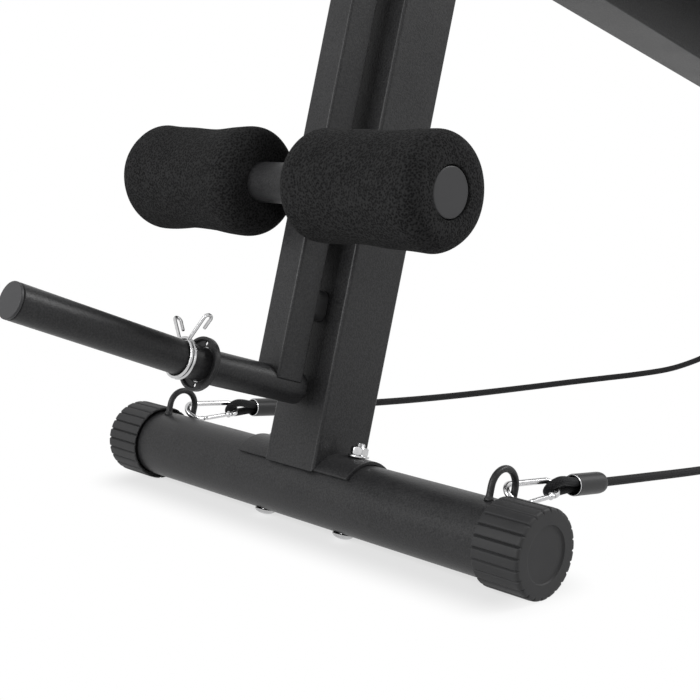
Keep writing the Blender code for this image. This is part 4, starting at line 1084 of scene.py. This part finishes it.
ALONG_LEAD = toward(LEAD_AXES, 1)
EYE_AXES = dipped(ROPE_DIP, HOOK_TILT)
for name, side in SIDES:
    eye_line, eye_size = eye_wire()
    eye_at = FOOT + (side * EYE_X, 0, 0)
    dressed(f"eye_loop_{name}",
            closed(swept(placed(eye_line, eye_at, LEAN_AXES), eye_size, (1, 0, 0), 24, 0.05)))
    dressed(f"carabiner_{name}", closed(swept(placed(hook_wire(), on_hook(name, 0), HOOK_AXES),
                                              HOOK_WIRE_R, HOOK_AXES[2], 24, 0.35)))
    hinge = on_hook(name, GATE_HINGE, HOOK_REAR_R)
    dressed(f"carabiner_gate_{name}", *each_placed(gate(), hinge, HOOK_AXES))
    lead = lead_origin(name)
    dressed(f"rope_eye_{name}",
            closed(swept(placed(rope_eye(), lead, EYE_AXES), ROPE_R, EYE_AXES[0], 24, 0.05)))
    sleeve_at = lead + LEAD_AXES[1] * SLEEVE_AT
    dressed(f"rope_sleeve_{name}", closed(placed(sleeve(), sleeve_at, ALONG_LEAD)), finish="sleeve")
    crimp = soft_line([(0.0079, -0.0010), (CRIMP_R, -0.0010), (CRIMP_R, 0.0006), (0.0079, 0.0006)],
                      0.0003, 3, loop=True)
    bright(f"crimp_ring_{name}", "frame", ring(placed(turned(crimp, 40), sleeve_at, ALONG_LEAD)))
print("two wire eyes, two snap hooks, two sleeves")

# %% [markdown]
# Each rope ends in a handle: webbing bent to a V that runs through a foam grip. The webbing is an
# outline of even thickness pushed to the strap's width; its nose and corners are arcs.

# %% Handles
GRIP_R = 0.0155
GRIP_BORE_R = 0.0096
GRIP_HALF = 0.062
STRAP_HALF_WIDTH = 0.009
STRAP_THICK = 0.002
STRAP_IN = 0.012
STRAP_TURN_R = 0.012
STRAP_NOSE_R = 0.006
STRAP_REACH = 0.088


def strap_outline():
    """Nose, straight run and corner at half a thickness to each side, then the mirror image."""
    corner = np.array([GRIP_HALF + GAP, STRAP_REACH - STRAP_TURN_R])
    run = corner - (0, STRAP_NOSE_R)
    slope = math.atan2(run[1], run[0])
    normal = math.degrees(slope - math.asin((STRAP_TURN_R - STRAP_NOSE_R) / np.linalg.norm(run))) - 90
    sides = []
    for offset in (STRAP_THICK / 2, -STRAP_THICK / 2):
        nose = arc((0, STRAP_NOSE_R), STRAP_NOSE_R + offset, -90, normal, 12)
        bend = arc(corner, STRAP_TURN_R + offset, normal, 90, 20)
        into = [(corner[0] - STRAP_IN, STRAP_REACH + offset)]
        sides.append(np.concatenate([nose, bend, into]))
    outer, inner = sides
    return np.concatenate([(outer[1:] * (-1, 1))[::-1], outer, inner[::-1], inner[1:] * (-1, 1)])


def grip():
    """A foam tube with round ends."""
    corners = [(GRIP_BORE_R, -GRIP_HALF), (GRIP_R, -GRIP_HALF), (GRIP_R, GRIP_HALF),
               (GRIP_BORE_R, GRIP_HALF)]
    return turned(soft_line(corners, 0.0045, 8, loop=True), 64)


for name, side in SIDES:
    hold = routes[name][-1] + (0, STRAP_THICK / 2 + GAP, 0)
    strap = dressed(f"handle_strap_{name}",
                    closed(placed(pushed(strap_outline(), -STRAP_HALF_WIDTH, STRAP_HALF_WIDTH, 0.0004),
                                  hold, LEVEL_AXES)))
    foam_grip = dressed(f"handle_grip_{name}",
                        ring(placed(grip(), hold + (0, STRAP_REACH, 0), ACROSS)))
print("two handles")

# %% [markdown]
# Some parts are already right in the frame and only have edges that are too sharp: the lever's
# bracket, the hinge and the slotted selector plate. A copy of the part's own mesh is welded, its
# flat faces are joined, and a small bevel rounds every edge.

# %% Folded plates
SOFT_EDGE = 0.0006


def refined(node):
    """A welded copy of the part with bevelled edges."""
    mesh = NODES[node].data.copy()
    shape = bmesh.new()
    shape.from_mesh(mesh)
    bmesh.ops.remove_doubles(shape, verts=shape.verts, dist=10 * WELD)
    bmesh.ops.dissolve_limit(shape, angle_limit=math.radians(1), verts=shape.verts, edges=shape.edges)
    shape.to_mesh(mesh)
    shape.free()
    skin = dressed(node, mesh=mesh)
    bevel = skin.modifiers.new("soft_edges", "BEVEL")
    bevel.width, bevel.segments = SOFT_EDGE, 3
    bevel.angle_limit = math.radians(35)
    skin.modifiers.move(len(skin.modifiers) - 1, 0)
    return skin


for node in ("lever_bracket", "hinge_ears", "hinge_leaf", "selector_plate"):
    print(node, len(refined(node).data.polygons), "faces before the bevel")

# %% [markdown]
# The lever turns on a hexagon bolt with a lock nut, whose round collar grips the thread. A rubber
# bumper stops it against the post. The board swings on a headed pin and lies on a rubber block, and
# a lobed knob clamps the selector plate. The knob's stud and nut are bright steel in a plastic head.

# %% Fasteners, stops and the clamp knob
PIVOT_SEAT = 0.0188
PIVOT_FLATS = 0.017
PIVOT_R = 0.005
HINGE_PIN_SEAT = 0.0306
HINGE_PIN_R = 0.004
HINGE_HEAD_R = 0.008
KNOB_FACE = 0.0378
KNOB_R = 0.026
KNOB_WAVE = 0.004
KNOB_LOBES = 6
KNOB_AT = (0, 0.600, BEAM_S)
BUMPER_AT = (0, 0, 0.149)
REST_AT = (0, 0.850, BEAM_S + TUBE_SIDE / 2 + GAP)


def lock_bolt():
    """Hexagon head, hexagon nut with a round collar, and the thread that stands out of it."""
    head = hexagon(PIVOT_FLATS, PIVOT_SEAT, PIVOT_SEAT + 0.0065)
    nut = hexagon(PIVOT_FLATS, -PIVOT_SEAT - NUT_HEIGHT, -PIVOT_SEAT)
    collar = soft_line([(0, -PIVOT_SEAT - 0.0091), (0.0076, -PIVOT_SEAT - 0.0091),
                        (0.0080, -PIVOT_SEAT - 0.0060), (0, -PIVOT_SEAT - 0.0060)], 0.0012, 4)
    shank = turned([(0, -PIVOT_SEAT), (PIVOT_R, -PIVOT_SEAT), (PIVOT_R, PIVOT_SEAT), (0, PIVOT_SEAT)], 32)
    end = thread(PIVOT_R, -PIVOT_SEAT - 0.0130, -PIVOT_SEAT - 0.0085)[::-1]
    return [closed(grid) for grid in (head, nut, turned(collar, 48), shank, end)]


def headed_pin():
    """A pin with a flat round head at each end."""
    seat, end = HINGE_PIN_SEAT, HINGE_PIN_SEAT + 0.003
    half = [(HINGE_PIN_R, seat), (HINGE_HEAD_R, seat), (HINGE_HEAD_R, end), (0, end)]
    other = [(radius, -height) for radius, height in half[::-1]]
    return turned(soft_line(other + half, 0.0009, 4), 48)


def knob_head():
    """Radius 26 mm plus a wave of 4 mm, six times round, on a round boss with a capped face."""
    angle = circle(144)
    reach = (KNOB_R + KNOB_WAVE * np.cos(KNOB_LOBES * angle))[:, None]
    star = pushed(reach * np.stack([np.cos(angle), np.sin(angle)], -1), KNOB_FACE + 0.006,
                  KNOB_FACE + 0.024, 0.0055, 8)
    boss = soft_line([(0, KNOB_FACE), (0.012, KNOB_FACE), (0.012, KNOB_FACE + 0.012),
                      (0, KNOB_FACE + 0.012)], 0.0008, 3)
    return [closed(star), closed(turned(boss, 48))]


def knob_stud():
    """Stud through the beam and the nut behind it."""
    seat = -TUBE_SIDE / 2 - GAP
    stud = thread(PIVOT_R, seat - 0.0080, KNOB_FACE + 0.004)
    return [closed(stud), closed(hexagon(PIVOT_FLATS, seat - 0.0064, seat))]


ALONG_N = toward(LEAN_AXES, 1)
dressed("lever_pivot_bolt", *each_placed(lock_bolt(), lever_pivot, LEAN_ACROSS))
lever_back, post_front = LEVER_N + LEVER_SIDE / 2 + GAP, -TUBE_SIDE / 2 - GAP
bumper = pushed(rounded_box(0.026, 0.022, 0.008), lever_back, post_front, 0.0022)
dressed("lever_bumper", closed(placed(bumper, leaning(*BUMPER_AT), ALONG_N)))
hinge_at = np.array(JOINTS["back_rest_tilt"]["pos_m"])
dressed("hinge_pin", closed(placed(headed_pin(), hinge_at, LEAN_ACROSS)))
block = pushed(rounded_box(0.050, 0.060, 0.008), 0, 0.0294, 0.003)
dressed("board_rest", closed(placed(block, leaning(*REST_AT), LEAN_AXES)))
dressed("selector_knob", *each_placed(knob_head(), leaning(*KNOB_AT), LEAN_ACROSS))
bright("selector_stud", "selector_knob", *each_placed(knob_stud(), leaning(*KNOB_AT), LEAN_ACROSS))
print("bolt, bumper, pin, rest block and knob")

# %% [markdown]
# The back board is plywood with round corners, and the hinge leaf and the selector's foot are held
# to its lower side by pan-head screws. Each screw is a turned dome with a cross cut pressed into it.

# %% Back board and screws
BOARD_WIDTH = 0.270
BOARD_LENGTH = 1.060
BOARD_CORNER = 0.030
BOARD_LOW = 0.015
BOARD_HIGH = 0.030
BOARD_MIDDLE = 0.505
LEAF_SCREWS = [(x, n, 0.0117) for n in (0.045, 0.100) for x in (-0.015, 0.015)]
FOOT_SCREWS = [(0.0495, n, 0.0107) for n in (0.472, 0.520)]


def pan_screw():
    """Dome 2.2 mm high; a point drops where |x| or |y| is small, which presses the cross."""
    radius = np.concatenate([np.linspace(0, 0.0024, 9), np.linspace(0.0028, 0.0042, 7)])
    grid = turned(np.stack([radius, -0.0023 * np.sqrt(1 - (radius / 0.0043) ** 2)], -1), 48)
    near = np.minimum(np.abs(grid[:, :, 0]), np.abs(grid[:, :, 1])) / 0.00045
    inside = np.clip((0.0026 - np.hypot(grid[:, :, 0], grid[:, :, 1])) / 0.0004, 0, 1)
    grid[:, :, 2] += 0.0010 * np.exp(-near ** 4) * inside
    return grid


board_at = placed((0, BOARD_MIDDLE, 0), hinge_at, LEAN_AXES)
board = pushed(rounded_box(BOARD_WIDTH, BOARD_LENGTH, BOARD_CORNER, 16), BOARD_LOW, BOARD_HIGH, 0.0015)
dressed("back_board", closed(placed(board, board_at, LEAN_AXES)))
for name, spots in (("hinge_screws", LEAF_SCREWS), ("selector_screws", FOOT_SCREWS)):
    heads = [closed(placed(pan_screw(), placed(spot, hinge_at, LEAN_AXES), LEAN_AXES)) for spot in spots]
    bright(name, "back_rest", *heads)
print("back board with", len(LEAF_SCREWS) + len(FOOT_SCREWS), "screws")

# %% [markdown]
# The pad is foam under stretched vinyl, stapled to the board. It starts a little too small, as a
# plain rounded slab; a cloth simulation with air pressure inside and the lower rim held then swells
# it until the sides bulge, as stretched vinyl does. The movement is capped, a crown and a sewn seam
# round the top panel are added, and the result is carried to the board and smoothed.

# %% Back pad
PAD_BASE = BOARD_HIGH + GAP
PAD_THICK = 0.040
PAD_EDGE = 0.010
PAD_SMALLER = 0.005
PAD_VOXEL = 0.006
PAD_HELD = 0.006
PAD_CROWN = 0.006
PAD_PRESSURE = 1.2
PAD_FRAMES = 14
PAD_CAP = 0.008
SEAM_HEIGHT = 0.0335
SEAM_DEPTH = 0.0022
SEAM_WIDTH = 0.0042


def pad_points(mesh):
    """All points of a mesh as one array."""
    flat = np.empty(3 * len(mesh.vertices), np.float32)
    mesh.vertices.foreach_get("co", flat)
    return flat.reshape(-1, 3).astype(float)


def swollen(holder):
    """Pressure inside and the lower rim held; each point then moves at most PAD_CAP."""
    before = pad_points(holder.data)
    held = holder.vertex_groups.new(name="held")
    held.add(np.flatnonzero(before[:, 2] < PAD_BASE + PAD_HELD).tolist(), 1.0, "REPLACE")
    cloth = holder.modifiers.new("swell", "CLOTH")
    cloth.settings.use_pressure = True
    cloth.settings.uniform_pressure_force = PAD_PRESSURE
    cloth.settings.effector_weights.gravity = 0
    cloth.settings.vertex_group_mass = "held"
    for frame_number in range(1, PAD_FRAMES + 1):
        bpy.context.scene.frame_set(frame_number)
    after = pad_points(applied(holder))
    holder.modifiers.clear()
    holder.vertex_groups.clear()
    bpy.context.scene.frame_set(1)
    moved = after - before
    far = np.linalg.norm(moved, axis=1)
    print(f"pad swells by up to {1000 * far.max():.1f} mm before the cap")
    return before + moved * np.minimum(1, PAD_CAP / np.maximum(far, WELD))[:, None]


def seam_pressed(points):
    """The side moves in by a bell-shaped groove at the height of the seam."""
    out = np.maximum(np.abs(points[:, 0]) - BOARD_WIDTH / 2, np.abs(points[:, 1]) - BOARD_LENGTH / 2)
    side = np.clip((out + 0.016) / 0.010, 0, 1)
    bell = np.exp(-((points[:, 2] - PAD_BASE - SEAM_HEIGHT) / SEAM_WIDTH) ** 2)
    shrink = 1 - (SEAM_DEPTH * side * bell)[:, None] / np.array([BOARD_WIDTH / 2, BOARD_LENGTH / 2])
    return np.concatenate([points[:, :2] * shrink, points[:, 2:]], 1)


pad_outline = rounded_box(BOARD_WIDTH - 2 * PAD_SMALLER, BOARD_LENGTH - 2 * PAD_SMALLER, BOARD_CORNER, 12)
slab = pushed(pad_outline, PAD_BASE, PAD_BASE + PAD_THICK, PAD_EDGE, 6)
pad = in_scene("pad_form", mesh_from([closed(slab)]))
remesh = pad.modifiers.new("even", "REMESH")
remesh.mode, remesh.voxel_size = "VOXEL", PAD_VOXEL
pad.data = applied(pad)
pad.modifiers.clear()
puffed = swollen(pad)
share = np.clip((puffed[:, 2] - PAD_BASE) / PAD_THICK, 0, 1)
puffed[:, 2] += (PAD_CROWN * share * (1 - (puffed[:, 0] / BOARD_WIDTH * 2) ** 2)
                 * (1 - (puffed[:, 1] / BOARD_LENGTH * 2) ** 4))
puffed[:, 2] = np.maximum(puffed[:, 2], PAD_BASE)
world_points = placed(seam_pressed(puffed), board_at, LEAN_AXES)
pad.data.vertices.foreach_set("co", world_points.ravel())
pad_skin = dressed("back_pad", mesh=pad.data)
bpy.data.objects.remove(pad)
pad_skin.modifiers.clear()
ease = pad_skin.modifiers.new("eased", "SMOOTH")
ease.factor, ease.iterations = 0.5, 10
smooth = pad_skin.modifiers.new("smooth", "SUBSURF")
smooth.levels = smooth.render_levels = 1
print(f"back pad {len(pad_skin.data.polygons)} faces")

# %% [markdown]
# The photograph is a studio picture on white. The floor is a pale plane that keeps the soft shadow
# next to the front tube; a few centimetres away it turns into plain white for the camera, so that no
# horizon shows. A soft lamp stands in front, a second one behind on the right, and a small one over
# the camera draws the thin bright lines along the corners of the tubes.

# %% Studio
FLOOR_SIZE = 30.0
FLOOR_PALE = 0.80
FLOOR_HALF = (0.215, 0.020, 1.0)
FLOOR_FADE = 0.055
FLOOR_WHITE_NEAR = 0.66
SKY_LIGHT = 0.12
# Each lamp: name, place from the foot tube, side in metres, power in watts
LAMPS = (("key", (-0.3, -2.0, 1.1), 1.0, 30.0), ("camera", (1.05, -0.95, 0.80), 0.12, 1.8),
         ("side", (1.0, 1.3, 1.4), 0.8, 24.0))


def seen(graph):
    """1 for rays from the camera, a reflection or glass; 0 for the rays that carry light."""
    rays = [graph.node("ShaderNodeLightPath", output=f"Is {kind} Ray")
            for kind in ("Camera", "Glossy", "Transmission")]
    return (rays[0] + rays[1]).maths("MAXIMUM", rays[0] + rays[1], rays[2])


class Sky(Finish):
    """The world's own graph."""

    def __init__(self, world):
        world.use_nodes = True
        self.tree = world.node_tree


def studio_floor():
    floor = Finish("studio_floor", base_color=(FLOOR_PALE, FLOOR_PALE, FLOOR_PALE, 1), roughness=0.9,
                   specular_ior_level=0.1)
    away = floor.vector("SUBTRACT", floor.place(), (0, FOOT[1], 0))
    away = floor.vector("SUBTRACT", floor.vector("ABSOLUTE", away), FLOOR_HALF)
    away = floor.vector("LENGTH", floor.vector("MAXIMUM", away, (0, 0, 0)), output="Value")
    white = floor.step(away, 0.0, FLOOR_FADE) * (1 - FLOOR_WHITE_NEAR) + FLOOR_WHITE_NEAR
    glow = floor.node("ShaderNodeEmission", None, {"Color": (1, 1, 1, 1), "Strength": 1.0})
    matt = Socket(floor, floor.shader.outputs[0])
    mixed = floor.node("ShaderNodeMixShader", None, {0: white * seen(floor), 1: matt, 2: glow})
    floor.plug(floor.tree.nodes["Material Output"].inputs["Surface"], mixed)
    return floor.material


ground = FLOOR_SIZE / 2 * np.array([(-1, -1, 0), (1, -1, 0), (1, 1, 0), (-1, 1, 0)])
floor_mesh = bpy.data.meshes.new("studio_floor")
floor_mesh.from_pydata(ground.tolist(), [], [(0, 1, 2, 3)])
floor_mesh.materials.append(studio_floor())
floor_plane = in_scene("studio_floor", floor_mesh)

world = bpy.data.worlds.new("studio_sky")
bpy.context.scene.world = world
sky = Sky(world)
light = sky.node("ShaderNodeBackground", None, {"Color": (1, 1, 1, 1), "Strength": SKY_LIGHT})
white = sky.node("ShaderNodeBackground", None, {"Color": (1, 1, 1, 1), "Strength": 1.0})
both = sky.node("ShaderNodeMixShader", None, {0: seen(sky), 1: light, 2: white})
sky.plug(sky.tree.nodes["World Output"].inputs["Surface"], both)

for name, spot, side, power in LAMPS:
    lamp = in_scene(f"{name}_lamp", bpy.data.lights.new(f"{name}_lamp", "AREA"))
    lamp.data.size, lamp.data.energy = side, power
    lamp.location = (spot[0], FOOT[1] + spot[1], spot[2])
    aim = Vector((0, FOOT[1], 0.2)) - lamp.location
    lamp.rotation_euler = aim.to_track_quat("-Z", "Y").to_euler()
bpy.context.scene.view_settings.view_transform = "Standard"
print(f"{len(LAMPS)} lamps and a white studio")
